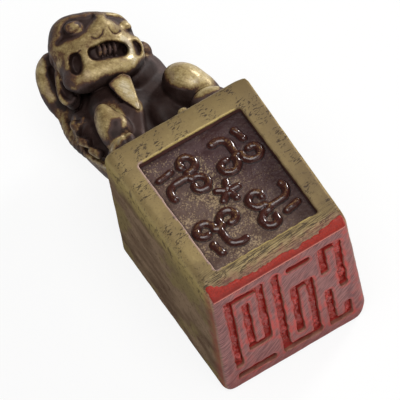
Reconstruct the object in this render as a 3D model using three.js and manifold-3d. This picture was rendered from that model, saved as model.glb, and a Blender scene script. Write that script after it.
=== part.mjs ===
// Seal stamp, lying on its back face: a square brass block with a seated lion for its knob.
// Millimetres. +X is to the right, +Y runs from the seal face to the lion, +Z is up through the panel.
// The block's seal face is at y = 0 and its back face at z = 0 while it is built. At the end the whole
// stamp is moved so that the middle of its footprint is the origin.
import * as THREE from "three";
import { ConvexGeometry } from "three/addons/geometries/ConvexGeometry.js";
import { mergeVertices } from "three/addons/utils/BufferGeometryUtils.js";
import Module from "manifold-3d";

const wasm = await Module();
wasm.setup();

// Driving sizes of the block
const BLOCK_LENGTH = 27.7;
const BLOCK_WIDTH = 22.0;
const BLOCK_WIDTH_AT_LION = 22.56;
const BLOCK_THICKNESS = 24.05;
const SIDE_EDGE_RADIUS = 1.3;
const END_EDGE_BEVEL = 0.35;

// Bevel along the front edge of the seal face. It is wider at the left.
const BEVEL_RUN_LEFT = 2.46;
const BEVEL_RUN_RIGHT = 1.66;
const BEVEL_DROP_LEFT = 1.85;
const BEVEL_DROP_RIGHT = 1.4;
const BEVEL_PASTE_THICKNESS = 0.35;
const BEVEL_PASTE_END_INSET = 0.2;
const BEVEL_PASTE_EDGE_INSET = 0.12;

// Sunk panel in the front face: its distance from the block's edges, and the plaque let into it
const PANEL_MARGIN_LEFT = 3.0;
const PANEL_MARGIN_RIGHT = 2.7;
const PANEL_MARGIN_SEAL = 3.4;
const PANEL_MARGIN_LION = 3.7;
const PANEL_DEPTH = 1.7;
const PLAQUE_THICKNESS = 0.65;
const PLAQUE_CLEARANCE = 0.05;

// Raised ornaments of the plaque: four cloud scrolls round a flower
const ORNAMENT_HEIGHT = 0.75;
const ORNAMENT_SHOULDER_HEIGHT = 0.35;
const ORNAMENT_STROKE = 1.0;
const ORNAMENT_CREST_STROKE = 0.5;
const ORNAMENT_MARGIN = 0.3;
const FLOWER_RADIUS = 1.55;
const FLOWER_PETALS = 5;

// Fret cut in the seal face, on a grid of columns and rows
const GROOVE_WIDTH = 1.15;
const GROOVE_DEPTH = 1.0;
const FRET_SIDE_MARGIN = 1.75;
const FRET_FOOT_MARGIN = 1.8;
const FRET_BEVEL_MARGIN = 1.4;
const FRET_COLUMNS = 8;
const FRET_ROWS = 8;
const PASTE_SIDE_GAP = 0.06;
const PASTE_THICKNESS = 0.6;

// Dowels between the lion and the block
const DOWEL_DIAMETER = 2.4;
const DOWEL_SIDE_CLEARANCE = 0.15;
const DOWEL_END_CLEARANCE = 0.3;
const DOWEL_DEPTH_IN_BLOCK = 4.0;
const DOWEL_DEPTH_IN_LION = 3.2;
const DOWEL_LEFT = -4.6;
const DOWEL_RIGHT = 3.4;

// The lion: its height above the block, and how its head is placed, rolled, nodded and turned
const LION_HEIGHT = 26.4;
const HEAD_MIDDLE = [-1.6, 21.0, 4.6];
const HEAD_ROLL = -17;
const HEAD_NOD = 17;
const HEAD_TURN = 14;

// The beard: its outline at a height above the block's middle, and how its sides lean with the height
const BEARD_HEIGHT = 7.4;
const BEARD_SLOPE = [-0.22, -0.53];
const BEARD_OUTLINE = [
  [-3.75, 12.6],
  [-2.7, 13.0],
  [-1.2, 12.9],
  [-0.5, 12.1],
  [-1.1, 9.4],
  [-1.95, 6.9],
  [-2.3, 6.6],
  [-3.5, 9.4],
];

// How finely round forms are cut into facets
const LUMP_DETAIL = 2;
const BEAD_DETAIL = 1;
const BEAD_SIZE = 1.6;
const HORN_SIDES = 8;
const HORN_ARC_STEPS = 2;
const ORNAMENT_SIDES = 8;
const DOWEL_SIDES = 20;

const BRASS = 0x8a7d50;
const DARK_BRASS = 0x5a4a3c;
const RED_PASTE = 0xc8423a;
const PLAQUE_BROWN = 0x4a322c;

const degrees = THREE.MathUtils.degToRad;

// A closed three.js geometry as a solid that can be cut and joined.
function solidOf(geometry) {
  const bare = geometry.clone();
  bare.deleteAttribute("normal");
  bare.deleteAttribute("uv");
  const merged = mergeVertices(bare, 1e-4);
  return new wasm.Manifold(
    new wasm.Mesh({
      numProp: 3,
      vertProperties: new Float32Array(merged.attributes.position.array),
      triVerts: new Uint32Array(merged.index.array),
    }),
  );
}

function joined(solids) {
  return solids.reduce((whole, piece) => whole.add(piece));
}

function cutBy(solid, tools) {
  return tools.reduce((rest, tool) => rest.subtract(tool), solid);
}

// The one outer body of a solid: a pocket that is closed off inside it is filled.
function outerBody(solid) {
  return solid
    .decompose()
    .reduce((best, body) => (body.volume() > best.volume() ? body : best));
}

function geometryOf(solid) {
  const mesh = solid.getMesh();
  const positions = new Float32Array(mesh.numVert * 3);
  for (let i = 0; i < mesh.numVert; i++) {
    const first = i * mesh.numProp;
    positions.set(mesh.vertProperties.subarray(first, first + 3), i * 3);
  }
  const geometry = new THREE.BufferGeometry();
  geometry.setAttribute("position", new THREE.BufferAttribute(positions, 3));
  geometry.setIndex(new THREE.BufferAttribute(new Uint32Array(mesh.triVerts), 1));
  geometry.computeVertexNormals();
  return geometry;
}

// Half the block's width at a distance from the seal face.
function halfWidthAt(y) {
  const share = y / BLOCK_LENGTH;
  return (BLOCK_WIDTH + (BLOCK_WIDTH_AT_LION - BLOCK_WIDTH) * share) / 2;
}

// The block's outer form: a rounded square, a little wider at the lion's end.
function blockBody() {
  const half = BLOCK_WIDTH / 2;
  const radius = SIDE_EDGE_RADIUS - END_EDGE_BEVEL;
  const low = END_EDGE_BEVEL;
  const side = half - END_EDGE_BEVEL;
  const high = BLOCK_THICKNESS - END_EDGE_BEVEL;
  const outline = new THREE.Shape();
  outline.moveTo(-side + radius, low);
  outline.lineTo(side - radius, low);
  outline.absarc(side - radius, low + radius, radius, -Math.PI / 2, 0);
  outline.lineTo(side, high - radius);
  outline.absarc(side - radius, high - radius, radius, 0, Math.PI / 2);
  outline.lineTo(-side + radius, high);
  outline.absarc(-side + radius, high - radius, radius, Math.PI / 2, Math.PI);
  outline.lineTo(-side, low + radius);
  outline.absarc(-side + radius, low + radius, radius, Math.PI, Math.PI * 1.5);
  const body = new THREE.ExtrudeGeometry(outline, {
    depth: BLOCK_LENGTH - 2 * END_EDGE_BEVEL,
    bevelEnabled: true,
    bevelThickness: END_EDGE_BEVEL,
    bevelSize: END_EDGE_BEVEL,
    bevelSegments: 1,
    curveSegments: 5,
  });
  // The outline's y becomes z, and the length runs from the lion's end back to the seal face.
  body.rotateX(Math.PI / 2);
  body.translate(0, BLOCK_LENGTH - END_EDGE_BEVEL, 0);
  const place = body.attributes.position;
  for (let i = 0; i < place.count; i++) {
    place.setX(i, (place.getX(i) * halfWidthAt(place.getY(i))) / half);
  }
  return solidOf(body);
}

// The wedge between the bevel plane and the front edge, lifted off the bevel by a height.
function bevelWedge(lift, reach) {
  const points = [];
  const beyond = 3;
  for (const x of [-reach, reach]) {
    const share = x / BLOCK_WIDTH + 0.5;
    const run = BEVEL_RUN_LEFT + (BEVEL_RUN_RIGHT - BEVEL_RUN_LEFT) * share;
    const drop = BEVEL_DROP_LEFT + (BEVEL_DROP_RIGHT - BEVEL_DROP_LEFT) * share;
    const slope = new THREE.Vector2(run, drop).normalize();
    const off = new THREE.Vector2(-slope.y, slope.x).multiplyScalar(lift);
    const seal = new THREE.Vector2(off.x, BLOCK_THICKNESS - drop + off.y);
    const front = new THREE.Vector2(run + off.x, BLOCK_THICKNESS + off.y);
    seal.addScaledVector(slope, -beyond);
    front.addScaledVector(slope, beyond);
    const corner = new THREE.Vector2(seal.x - beyond, front.y + beyond);
    for (const p of [seal, front, corner]) {
      points.push(new THREE.Vector3(x, p.x, p.y));
    }
  }
  return solidOf(new ConvexGeometry(points));
}

// A box from its lowest and highest corners.
function box(low, high) {
  const size = new THREE.Vector3().subVectors(high, low);
  const geometry = new THREE.BoxGeometry(size.x, size.y, size.z);
  geometry.translate(low.x + size.x / 2, low.y + size.y / 2, low.z + size.z / 2);
  return solidOf(geometry);
}

// The panel's edges on the front face.
function panelEdges() {
  return {
    left: -BLOCK_WIDTH / 2 + PANEL_MARGIN_LEFT,
    right: BLOCK_WIDTH / 2 - PANEL_MARGIN_RIGHT,
    low: PANEL_MARGIN_SEAL,
    high: BLOCK_LENGTH - PANEL_MARGIN_LION,
  };
}

function panelBox(clearance, bottom, top) {
  const { left, right, low, high } = panelEdges();
  return box(
    new THREE.Vector3(left + clearance, low + clearance, bottom),
    new THREE.Vector3(right - clearance, high - clearance, top),
  );
}

// The fret's grooves on the seal face, each a line through cells [column, row] of the grid.
const FRET = {
  left_spiral: [[0, 1], [0, 7], [2, 7], [2, 2], [1, 2], [1, 6]],
  foot_bar: [[0, 0], [2, 0]],
  middle_spiral: [[3, 7], [3, 0], [5, 0], [5, 5], [4, 5], [4, 1]],
  top_bar: [[4, 7], [5, 7]],
  upper_hook: [[6, 5], [6, 7], [7, 7], [7, 3]],
  lower_hook: [[6, 3], [6, 0], [7, 0], [7, 1]],
};

// A groove's corner points [x, z] on the seal face.
function groovePoints(name) {
  const left = -BLOCK_WIDTH / 2 + FRET_SIDE_MARGIN + GROOVE_WIDTH / 2;
  const low = FRET_FOOT_MARGIN + GROOVE_WIDTH / 2;
  const bevelFoot = BLOCK_THICKNESS - Math.max(BEVEL_DROP_LEFT, BEVEL_DROP_RIGHT);
  const high = bevelFoot - FRET_BEVEL_MARGIN - GROOVE_WIDTH / 2;
  const columnPitch = (-2 * left) / (FRET_COLUMNS - 1);
  const rowPitch = (high - low) / (FRET_ROWS - 1);
  return FRET[name].map(([column, row]) => [
    left + column * columnPitch,
    low + row * rowPitch,
  ]);
}

// Square-ended bars along a stroke's corner points, between two depths behind the seal face.
function strokeBars(stroke, width, shallow, deep) {
  const bars = [];
  for (let i = 1; i < stroke.length; i++) {
    const [ax, az] = stroke[i - 1];
    const [bx, bz] = stroke[i];
    bars.push(
      box(
        new THREE.Vector3(Math.min(ax, bx) - width / 2, shallow, Math.min(az, bz) - width / 2),
        new THREE.Vector3(Math.max(ax, bx) + width / 2, deep, Math.max(az, bz) + width / 2),
      ),
    );
  }
  return joined(bars);
}

// A straight round bar along Y, from the block into the lion.
function dowelBar(x, radius, from, to) {
  const geometry = new THREE.CylinderGeometry(radius, radius, to - from, DOWEL_SIDES);
  geometry.translate(x, (from + to) / 2, BLOCK_THICKNESS / 2);
  return solidOf(geometry);
}

function dowelHole(x) {
  return dowelBar(
    x,
    DOWEL_DIAMETER / 2 + DOWEL_SIDE_CLEARANCE,
    BLOCK_LENGTH - DOWEL_DEPTH_IN_BLOCK,
    BLOCK_LENGTH + DOWEL_DEPTH_IN_LION,
  );
}

function sealBlock() {
  const outside = 1;
  const grooves = Object.keys(FRET).map((name) =>
    strokeBars(groovePoints(name), GROOVE_WIDTH, -outside, GROOVE_DEPTH),
  );
  return cutBy(blockBody(), [
    bevelWedge(0, BLOCK_WIDTH),
    panelBox(0, BLOCK_THICKNESS - PANEL_DEPTH, BLOCK_THICKNESS + outside),
    ...grooves,
    dowelHole(DOWEL_LEFT),
    dowelHole(DOWEL_RIGHT),
  ]);
}

// The dried paste on the bevel: a thin layer between the bevel and its own outer plane.
function bevelPaste() {
  const half = BLOCK_WIDTH / 2 - SIDE_EDGE_RADIUS - BEVEL_PASTE_END_INSET;
  const slabLow = new THREE.Vector3(-half, BEVEL_PASTE_EDGE_INSET, 0);
  const slabHigh = new THREE.Vector3(
    half,
    BLOCK_LENGTH,
    BLOCK_THICKNESS - BEVEL_PASTE_EDGE_INSET,
  );
  const slab = box(slabLow, slabHigh);
  return slab
    .intersect(bevelWedge(0, BLOCK_WIDTH))
    .subtract(bevelWedge(BEVEL_PASTE_THICKNESS, BLOCK_WIDTH));
}

// A round-ended bar with a sloping shoulder, between two points on the plaque's ground.
function ornamentBar(from, to, ground) {
  const rings = [
    [ORNAMENT_STROKE / 2, -PLAQUE_THICKNESS / 2],
    [ORNAMENT_STROKE / 2, ORNAMENT_SHOULDER_HEIGHT],
    [ORNAMENT_CREST_STROKE / 2, ORNAMENT_HEIGHT],
  ];
  const points = [];
  for (const end of [from, to]) {
    for (const [radius, height] of rings) {
      for (let i = 0; i < ORNAMENT_SIDES; i++) {
        const angle = ((i + 0.5) / ORNAMENT_SIDES) * Math.PI * 2;
        const x = end.x + radius * Math.cos(angle);
        const y = end.y + radius * Math.sin(angle);
        points.push(new THREE.Vector3(x, y, ground + height));
      }
    }
  }
  return solidOf(new ConvexGeometry(points));
}

// An arc about a middle, with angles in turns and a radius that may change on the way.
function arcPoints([x, y], fromTurn, toTurn, fromRadius, toRadius, steps) {
  const points = [];
  for (let i = 0; i <= steps; i++) {
    const share = i / steps;
    const angle = Math.PI * 2 * (fromTurn + (toTurn - fromTurn) * share);
    const radius = fromRadius + (toRadius - fromRadius) * share;
    points.push(new THREE.Vector2(x + radius * Math.cos(angle), y + radius * Math.sin(angle)));
  }
  return points;
}

// The strokes of one cloud scroll, for a half size of 1 round its own middle: two curls that grow out
// of a stem, the stem's hooked tail, and a drop beside it.
function cloudScroll(reach) {
  const neck = new THREE.Vector2(0, 0.2);
  const curl = [neck, ...arcPoints([0.6, 0.46], 0.55, -0.28, 0.46, 0.24, 7)];
  const otherCurl = curl.map((p) => new THREE.Vector2(-p.x, p.y));
  const tail = [neck, ...arcPoints([0.46, -0.36], 0.5, 0.82, 0.46, 0.46, 4)];
  const drop = [new THREE.Vector2(-0.62, -0.3), new THREE.Vector2(-0.5, -0.85)];
  const strokes = [curl, otherCurl, tail, drop];
  return strokes.map((stroke) => stroke.map((p) => p.clone().multiplyScalar(reach)));
}

// The petals of the flower, as short strokes out from its middle.
function flowerPetals() {
  const petals = [];
  for (let i = 0; i < FLOWER_PETALS; i++) {
    const angle = (i / FLOWER_PETALS) * Math.PI * 2;
    const tip = new THREE.Vector2(Math.cos(angle), Math.sin(angle)).multiplyScalar(FLOWER_RADIUS);
    petals.push([tip.clone().multiplyScalar(0.3), tip]);
  }
  return petals;
}

// Every stroke on the plaque, in the block's x and y.
function ornamentStrokes() {
  const { left, right, low, high } = panelEdges();
  const middle = new THREE.Vector2((left + right) / 2, (low + high) / 2);
  const cell = new THREE.Vector2((right - left) / 4, (high - low) / 4);
  const reach = Math.min(cell.x, cell.y) - ORNAMENT_MARGIN - ORNAMENT_STROKE / 2;
  const strokes = flowerPetals().map((petal) => petal.map((p) => p.add(middle)));
  const corners = [
    [-1, -1],
    [1, -1],
    [1, 1],
    [-1, 1],
  ];
  corners.forEach(([sideX, sideY], n) => {
    const turn = (n * Math.PI) / 2;
    const place = middle.clone().add(new THREE.Vector2(sideX * cell.x, sideY * cell.y));
    for (const stroke of cloudScroll(reach)) {
      strokes.push(stroke.map((p) => p.rotateAround(new THREE.Vector2(), turn).add(place)));
    }
  });
  return strokes;
}

function panelPlaque() {
  const floor = BLOCK_THICKNESS - PANEL_DEPTH;
  const ground = floor + PLAQUE_THICKNESS;
  const pieces = [panelBox(PLAQUE_CLEARANCE, floor, ground)];
  for (const stroke of ornamentStrokes()) {
    for (let i = 1; i < stroke.length; i++) {
      pieces.push(ornamentBar(stroke[i - 1], stroke[i], ground));
    }
  }
  return joined(pieces).intersect(panelBox(PLAQUE_CLEARANCE, floor, BLOCK_THICKNESS));
}

// The lion's own points are written for a figure of this height.
const WRITTEN_HEIGHT = 26.4;
const lionScale = LION_HEIGHT / WRITTEN_HEIGHT;

// The lion's frame: x as the block's, y up from the block's end, z forward from the block's middle.
const lionPoint = (x, y, z) =>
  new THREE.Vector3(x, y, z)
    .multiplyScalar(lionScale)
    .add(new THREE.Vector3(0, BLOCK_LENGTH, BLOCK_THICKNESS / 2));

const headTurn = new THREE.Matrix4()
  .makeRotationY(degrees(HEAD_TURN))
  .multiply(new THREE.Matrix4().makeRotationX(degrees(HEAD_NOD)))
  .multiply(new THREE.Matrix4().makeRotationZ(degrees(HEAD_ROLL)));

// The head's frame: x across the face, y up the brow, z out of the face.
function headPoint(x, y, z) {
  const p = new THREE.Vector3(x, y, z).applyMatrix4(headTurn);
  return lionPoint(...p.add(new THREE.Vector3(...HEAD_MIDDLE)).toArray());
}

// A smooth lump: its middle, its three half sizes and its tilt about z, in a frame.
function lump(place, turn, [x, y, z], sizes, tilt = 0) {
  const detail = Math.max(...sizes) < BEAD_SIZE ? BEAD_DETAIL : LUMP_DETAIL;
  const geometry = new THREE.IcosahedronGeometry(lionScale, detail);
  geometry.scale(...sizes);
  geometry.rotateZ(degrees(tilt));
  geometry.applyMatrix4(turn);
  const middle = place(x, y, z);
  geometry.translate(middle.x, middle.y, middle.z);
  return solidOf(geometry);
}

// A round bar that tapers between two balls.
function horn(place, from, to, fromSize, toSize) {
  const a = place(...from);
  const b = place(...to);
  const length = a.distanceTo(b);
  const fromRadius = fromSize * lionScale;
  const toRadius = toSize * lionScale;
  const profile = [];
  for (let i = 0; i <= HORN_ARC_STEPS; i++) {
    const angle = (Math.PI / 2) * (i / HORN_ARC_STEPS - 1);
    const y = fromRadius * Math.sin(angle);
    profile.push(new THREE.Vector2(fromRadius * Math.cos(angle), y));
  }
  for (let i = 0; i <= HORN_ARC_STEPS; i++) {
    const angle = (Math.PI / 2) * (i / HORN_ARC_STEPS);
    const y = length + toRadius * Math.sin(angle);
    profile.push(new THREE.Vector2(toRadius * Math.cos(angle), y));
  }
  profile[0].x = 0;
  profile[profile.length - 1].x = 0;
  const geometry = new THREE.LatheGeometry(profile, HORN_SIDES);
  const up = new THREE.Vector3(0, 1, 0);
  const along = new THREE.Vector3().subVectors(b, a).normalize();
  geometry.applyQuaternion(new THREE.Quaternion().setFromUnitVectors(up, along));
  geometry.translate(a.x, a.y, a.z);
  return solidOf(geometry);
}

function rope(place, points, radii) {
  const bars = [];
  for (let i = 1; i < points.length; i++) {
    bars.push(horn(place, points[i - 1], points[i], radii[i - 1], radii[i]));
  }
  return joined(bars);
}

const unturned = new THREE.Matrix4();
const bodyLump = (middle, sizes, tilt) => lump(lionPoint, unturned, middle, sizes, tilt);
const bodyHorn = (from, to, ra, rb) => horn(lionPoint, from, to, ra, rb);
const bodyRope = (points, radii) => rope(lionPoint, points, radii);
const headLump = (middle, sizes, tilt) => lump(headPoint, headTurn, middle, sizes, tilt);
const headRope = (points, radii) => rope(headPoint, points, radii);

// A box whose edges are cut off at an angle, turned about z in the lion's frame.
function bevelledBox([x, y, z], half, cut, tilt) {
  const corners = [];
  for (const sx of [-1, 1]) {
    for (const sy of [-1, 1]) {
      for (const sz of [-1, 1]) {
        corners.push(new THREE.Vector3(sx * (half[0] - cut), sy * (half[1] - cut), sz * half[2]));
        corners.push(new THREE.Vector3(sx * (half[0] - cut), sy * half[1], sz * (half[2] - cut)));
        corners.push(new THREE.Vector3(sx * half[0], sy * (half[1] - cut), sz * (half[2] - cut)));
      }
    }
  }
  const geometry = new ConvexGeometry(corners);
  geometry.rotateZ(degrees(tilt));
  const middle = lionPoint(x, y, z);
  geometry.translate(middle.x, middle.y, middle.z);
  return solidOf(geometry);
}

// A flat plate between two heights whose sides lean by the slope for each millimetre of height.
// Its outline is given at one height, and its upper rim is cut off at an angle.
function leaningPlate(outline, height, heights, slope, cut) {
  const middle = outline
    .reduce((sum, [x, y]) => [sum[0] + x, sum[1] + y], [0, 0])
    .map((total) => total / outline.length);
  const points = [];
  const levels = [
    [heights[0], 0],
    [heights[1] - cut, 0],
    [heights[1], cut],
  ];
  for (const [z, inset] of levels) {
    for (const [x, y] of outline) {
      const away = Math.hypot(x - middle[0], y - middle[1]);
      const share = inset / away;
      const px = x + share * (middle[0] - x) + slope[0] * (z - height);
      const py = y + share * (middle[1] - y) + slope[1] * (z - height);
      points.push(lionPoint(px, py, z));
    }
  }
  return solidOf(new ConvexGeometry(points));
}

function lionTrunk() {
  return joined([
    bodyLump([2.0, 6.4, -2.8], [8.1, 7.3, 6.6]),
    bodyLump([-3.6, 8.0, -0.8], [5.9, 8.6, 6.8]),
    bodyLump([-5.4, 11.0, -2.6], [4.3, 8.1, 6.0], 8),
    bodyLump([0.6, 12.3, -2.1], [6.1, 6.7, 5.2], -25),
    bodyLump([0, 0.2, -2.0], [9.0, 2.2, 7.6]),
    bodyLump([-4.4, 8.4, 3.0], [3.0, 7.2, 4.4]),
  ]);
}

function lionHaunch() {
  return joined([
    bodyLump([6.2, 8.1, 3.2], [3.0, 4.2, 4.3], 16),
    bodyLump([7.6, 6.8, 2.3], [2.3, 4.1, 4.0], 12),
    bodyHorn([2.8, 0.8, 9.2], [7.8, 1.0, 8.0], 0.85, 1.15),
    bodyLump([2.0, 1.2, 9.7], [0.85, 0.75, 0.8]),
    bodyLump([6.6, 2.2, 6.4], [3.0, 2.4, 2.6]),
  ]);
}

function lionBackHaunch() {
  return joined([
    bodyLump([5.6, 6.6, -6.2], [4.0, 4.8, 3.6], 8),
    bodyHorn([1.8, 0.8, -9.0], [8.2, 1.0, -8.2], 1.1, 1.3),
    bodyHorn([-6.2, 7.6, -7.2], [-7.2, 1.0, -8.0], 1.9, 1.6),
    bodyLump([-7.4, 0.9, -8.9], [1.9, 1.3, 1.7]),
  ]);
}

// The foreleg: a worn teardrop with a shallow hollow above its three toes.
function lionForeleg() {
  const leg = joined([
    bodyLump([-6.8, 6.5, 6.7], [1.9, 4.2, 2.5], -8),
    bodyLump([-5.9, 6.0, 6.9], [1.7, 2.9, 2.2], 14),
  ]);
  return joined([
    leg.subtract(bodyLump([-6.9, 4.6, 9.7], [1.3, 1.7, 0.7])),
    bodyLump([-7.4, 1.8, 6.6], [2.4, 2.2, 3.1]),
    bodyLump([-8.6, 1.3, 9.1], [0.85, 1.5, 1.2], -20),
    bodyLump([-7.5, 1.3, 9.6], [0.85, 1.5, 1.2], -20),
    bodyLump([-6.4, 1.3, 9.6], [0.85, 1.5, 1.2], -20),
  ]);
}

// The chest: a slab with a crisp edge beside the belly's hollow, and the pointed beard over it.
function lionChest() {
  return joined([
    bevelledBox([-4.75, 4.0, 5.4], [1.75, 5.1, 2.3], 0.35, -25),
    leaningPlate(BEARD_OUTLINE, BEARD_HEIGHT, [4.6, 7.8], BEARD_SLOPE, 0.25),
  ]);
}

// The left flank: its rim down to the block's corner, and three tufts in front of it.
function lionFlank() {
  const rim = [
    [-8.6, 19.0, -2.6],
    [-9.5, 15.5, -1.6],
    [-10.0, 12.4, -0.6],
    [-9.9, 9.0, 0.8],
    [-9.3, 5.6, 2.4],
    [-8.6, 1.0, 5.2],
  ];
  return joined([
    bodyRope(rim, [0.9, 0.95, 0.95, 0.95, 0.9, 0.9]),
    bodyLump([-7.8, 7.6, 0.8], [2.6, 7.6, 3.6], 4),
    bodyLump([-9.85, 11.7, 3.2], [0.75, 1.2, 1.15], -12),
    bodyLump([-9.0, 11.5, 3.2], [0.8, 1.3, 1.15], -52),
    bodyLump([-10.1, 8.6, 3.7], [0.65, 1.1, 1.15], 30),
    bodyLump([-10.0, 6.0, 4.3], [0.6, 1.25, 1.15], 25),
  ]);
}

// The mane: neck, collar, the long lock at the left and the scooped, curled one in front of it.
function lionMane() {
  const longLock = [
    [-6.6, 24.9, 0.4],
    [-8.0, 23.5, 0.2],
    [-8.8, 20.8, -0.6],
    [-9.1, 17.8, -1.3],
  ];
  const collar = [
    [4.2, 16.8, 0.2],
    [2.6, 14.9, 2.2],
    [0.4, 13.3, 4.0],
  ];
  const scoop = [
    [-7.0, 20.6, 4.5],
    [-7.5, 18.6, 4.9],
    [-8.0, 16.8, 4.9],
  ];
  const curlRim = [
    [-6.4, 22.2, 3.2],
    [-7.9, 19.8, 3.4],
    [-8.9, 17.5, 3.5],
    [-9.1, 16.0, 3.8],
    [-8.6, 15.1, 4.2],
    [-7.9, 15.1, 4.6],
  ];
  const innerRim = [
    [-6.5, 20.8, 4.0],
    [-6.8, 19.3, 4.2],
    [-6.7, 17.8, 4.4],
    [-7.1, 16.3, 4.6],
  ];
  const neck = joined([
    bodyLump([-4.2, 18.2, -2.6], [5.2, 6.4, 4.4]),
    bodyLump([2.6, 15.7, -1.7], [3.8, 4.2, 4.2], -30),
    bodyRope(longLock, [1.3, 1.5, 1.5, 1.2]),
    bodyRope(collar, [1.1, 1.1, 0.8]),
    bodyLump([-0.6, 22.6, -1.6], [4.6, 2.6, 3.6]),
    bodyLump([-7.3, 18.4, 2.8], [1.5, 3.9, 1.7], -14),
  ]);
  return joined([
    neck.subtract(bodyRope(scoop, [0.5, 0.75, 0.7])),
    bodyRope(curlRim, [0.35, 0.4, 0.42, 0.42, 0.4, 0.35]),
    bodyRope(innerRim, [0.32, 0.36, 0.36, 0.3]),
    bodyLump([-7.0, 15.9, 4.6], [0.5, 0.85, 0.5], -16),
  ]);
}

// The tail lies up the back, with a row of curls along the spine.
function lionBack() {
  const tail = [
    [8.0, 3.0, -6.0],
    [8.2, 8.4, -4.8],
    [4.6, 12.4, -6.2],
  ];
  const curls = [0, 1, 2, 3].map((n) =>
    bodyLump([-2.6 - 0.5 * n, 21.6 - 3.4 * n, -6.0 - 0.7 * n], [1.7, 1.6, 1.5]),
  );
  return joined([bodyRope(tail, [1.2, 1.7, 0.9]), ...curls]);
}

function lionHead() {
  const jaw = [
    [-4.3, -5.5, 1.5],
    [-2.6, -6.0, 2.6],
    [0.3, -5.4, 3.4],
    [2.9, -4.7, 3.3],
    [4.8, -3.4, 2.1],
  ];
  const bridge = [
    [1.0, 2.6, 2.2],
    [0.9, 1.6, 3.0],
    [0.85, 0.5, 3.6],
  ];
  const rim = [
    [-7.1, 0.4, -1.4],
    [-7.0, -2.0, -1.2],
    [-6.6, -4.4, -1.0],
    [-5.6, -6.6, -0.9],
  ];
  const skull = joined([
    headLump([0.2, -0.1, -0.4], [6.35, 5.2, 5.0]),
    headLump([3.4, 2.4, -0.7], [2.7, 2.3, 3.2]),
    headLump([-2.6, 2.4, -0.5], [2.8, 2.3, 3.2]),
    headLump([0.1, -3.2, 0.8], [5.4, 3.6, 4.1]),
    headRope(jaw, [1.2, 1.35, 1.3, 1.3, 1.2]),
    headLump([4.9, -2.0, 1.8], [1.75, 2.6, 2.2]),
    headLump([0.5, -1.3, 3.1], [3.5, 2.2, 1.6], 4),
    headRope(bridge, [0.9, 1.2, 1.4]),
    headLump([-0.3, -0.1, 4.1], [1.25, 0.95, 0.9], -8),
    headLump([2.05, 0.15, 3.9], [0.95, 0.8, 0.9], 8),
  ]);
  const hollowed = cutBy(skull, [
    headRope(rim, [1.2, 1.5, 1.6, 1.3]),
    headLump([-2.9, 1.7, 5.3], [2.7, 1.3, 2.2], 30),
    headLump([3.9, 2.0, 4.9], [2.0, 0.9, 2.1], -35),
    headLump([0.75, -2.65, 5.2], [2.8, 1.1, 1.9], 5),
    headLump([-3.75, -3.75, 4.0], [0.8, 1.35, 1.6], 4),
    headLump([5.2, -2.1, 4.6], [0.55, 1.1, 1.6]),
  ]);
  const teeth = [];
  for (let tooth = 0; tooth < 4; tooth++) {
    teeth.push(headLump([-0.35 + 0.74 * tooth, -2.35 + 0.06 * tooth, 3.65], [0.35, 1.05, 0.85]));
    teeth.push(headLump([-0.1 + 0.68 * tooth, -3.75 + 0.08 * tooth, 3.4], [0.3, 0.42, 0.7]));
  }
  return joined([
    hollowed,
    headLump([-3.0, 1.8, 2.75], [1.4, 1.1, 0.95], 8),
    headLump([4.5, 1.6, 2.1], [1.05, 0.85, 0.9], -14),
    headLump([7.1, -1.2, -0.8], [1.6, 1.7, 1.6], -10),
    ...teeth,
  ]);
}

function lionFigure() {
  const hollows = [
    bodyLump([0.9, 4.6, 8.6], [2.7, 5.8, 5.8]),
    bodyLump([2.6, 2.6, 8.8], [2.6, 3.0, 5.0], -10),
  ];
  const gap = [
    [-7.2, 22.8, 1.6],
    [-7.6, 20.6, 1.7],
    [-8.2, 17.8, 1.5],
  ];
  const whole = joined([
    cutBy(lionTrunk(), hollows),
    lionChest(),
    lionMane(),
    lionFlank(),
    lionHaunch(),
    lionBackHaunch(),
    lionForeleg(),
    lionBack(),
    lionHead(),
  ]);
  const below = box(
    new THREE.Vector3(-BLOCK_WIDTH, 0, -BLOCK_THICKNESS),
    new THREE.Vector3(BLOCK_WIDTH, BLOCK_LENGTH, 2 * BLOCK_THICKNESS),
  );
  const tools = [bodyRope(gap, [0.6, 0.8, 0.5]), below, dowelHole(DOWEL_LEFT), dowelHole(DOWEL_RIGHT)];
  return outerBody(cutBy(whole, tools));
}

const brass = { color: BRASS, roughness: 0.45, metalness: 0.85 };
const darkBrass = { color: DARK_BRASS, roughness: 0.5, metalness: 0.7 };
const paste = { color: RED_PASTE, roughness: 0.75, metalness: 0.0 };
const plaqueBrown = { color: PLAQUE_BROWN, roughness: 0.35, metalness: 0.4 };

const stamp = new THREE.Group();

function addPiece(name, solid, finish) {
  const mesh = new THREE.Mesh(geometryOf(solid), new THREE.MeshStandardMaterial(finish));
  mesh.name = name;
  stamp.add(mesh);
}

addPiece("seal_block", sealBlock(), brass);
addPiece("lion_figure", lionFigure(), darkBrass);
addPiece("panel_plaque", panelPlaque(), plaqueBrown);
addPiece("paste_bevel", bevelPaste(), paste);

const dowels = [
  ["knob_dowel_left", DOWEL_LEFT],
  ["knob_dowel_right", DOWEL_RIGHT],
];
for (const [name, x] of dowels) {
  const from = BLOCK_LENGTH - DOWEL_DEPTH_IN_BLOCK;
  const to = BLOCK_LENGTH + DOWEL_DEPTH_IN_LION - DOWEL_END_CLEARANCE;
  addPiece(name, dowelBar(x, DOWEL_DIAMETER / 2, from, to), brass);
}

// One groove is bare. The others hold paste on their floor.
for (const name of Object.keys(FRET)) {
  if (name !== "top_bar") {
    const width = GROOVE_WIDTH - 2 * PASTE_SIDE_GAP;
    const top = GROOVE_DEPTH - PASTE_THICKNESS;
    const layer = strokeBars(groovePoints(name), width, top, GROOVE_DEPTH);
    addPiece("paste_" + name, layer, paste);
  }
}

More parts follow.
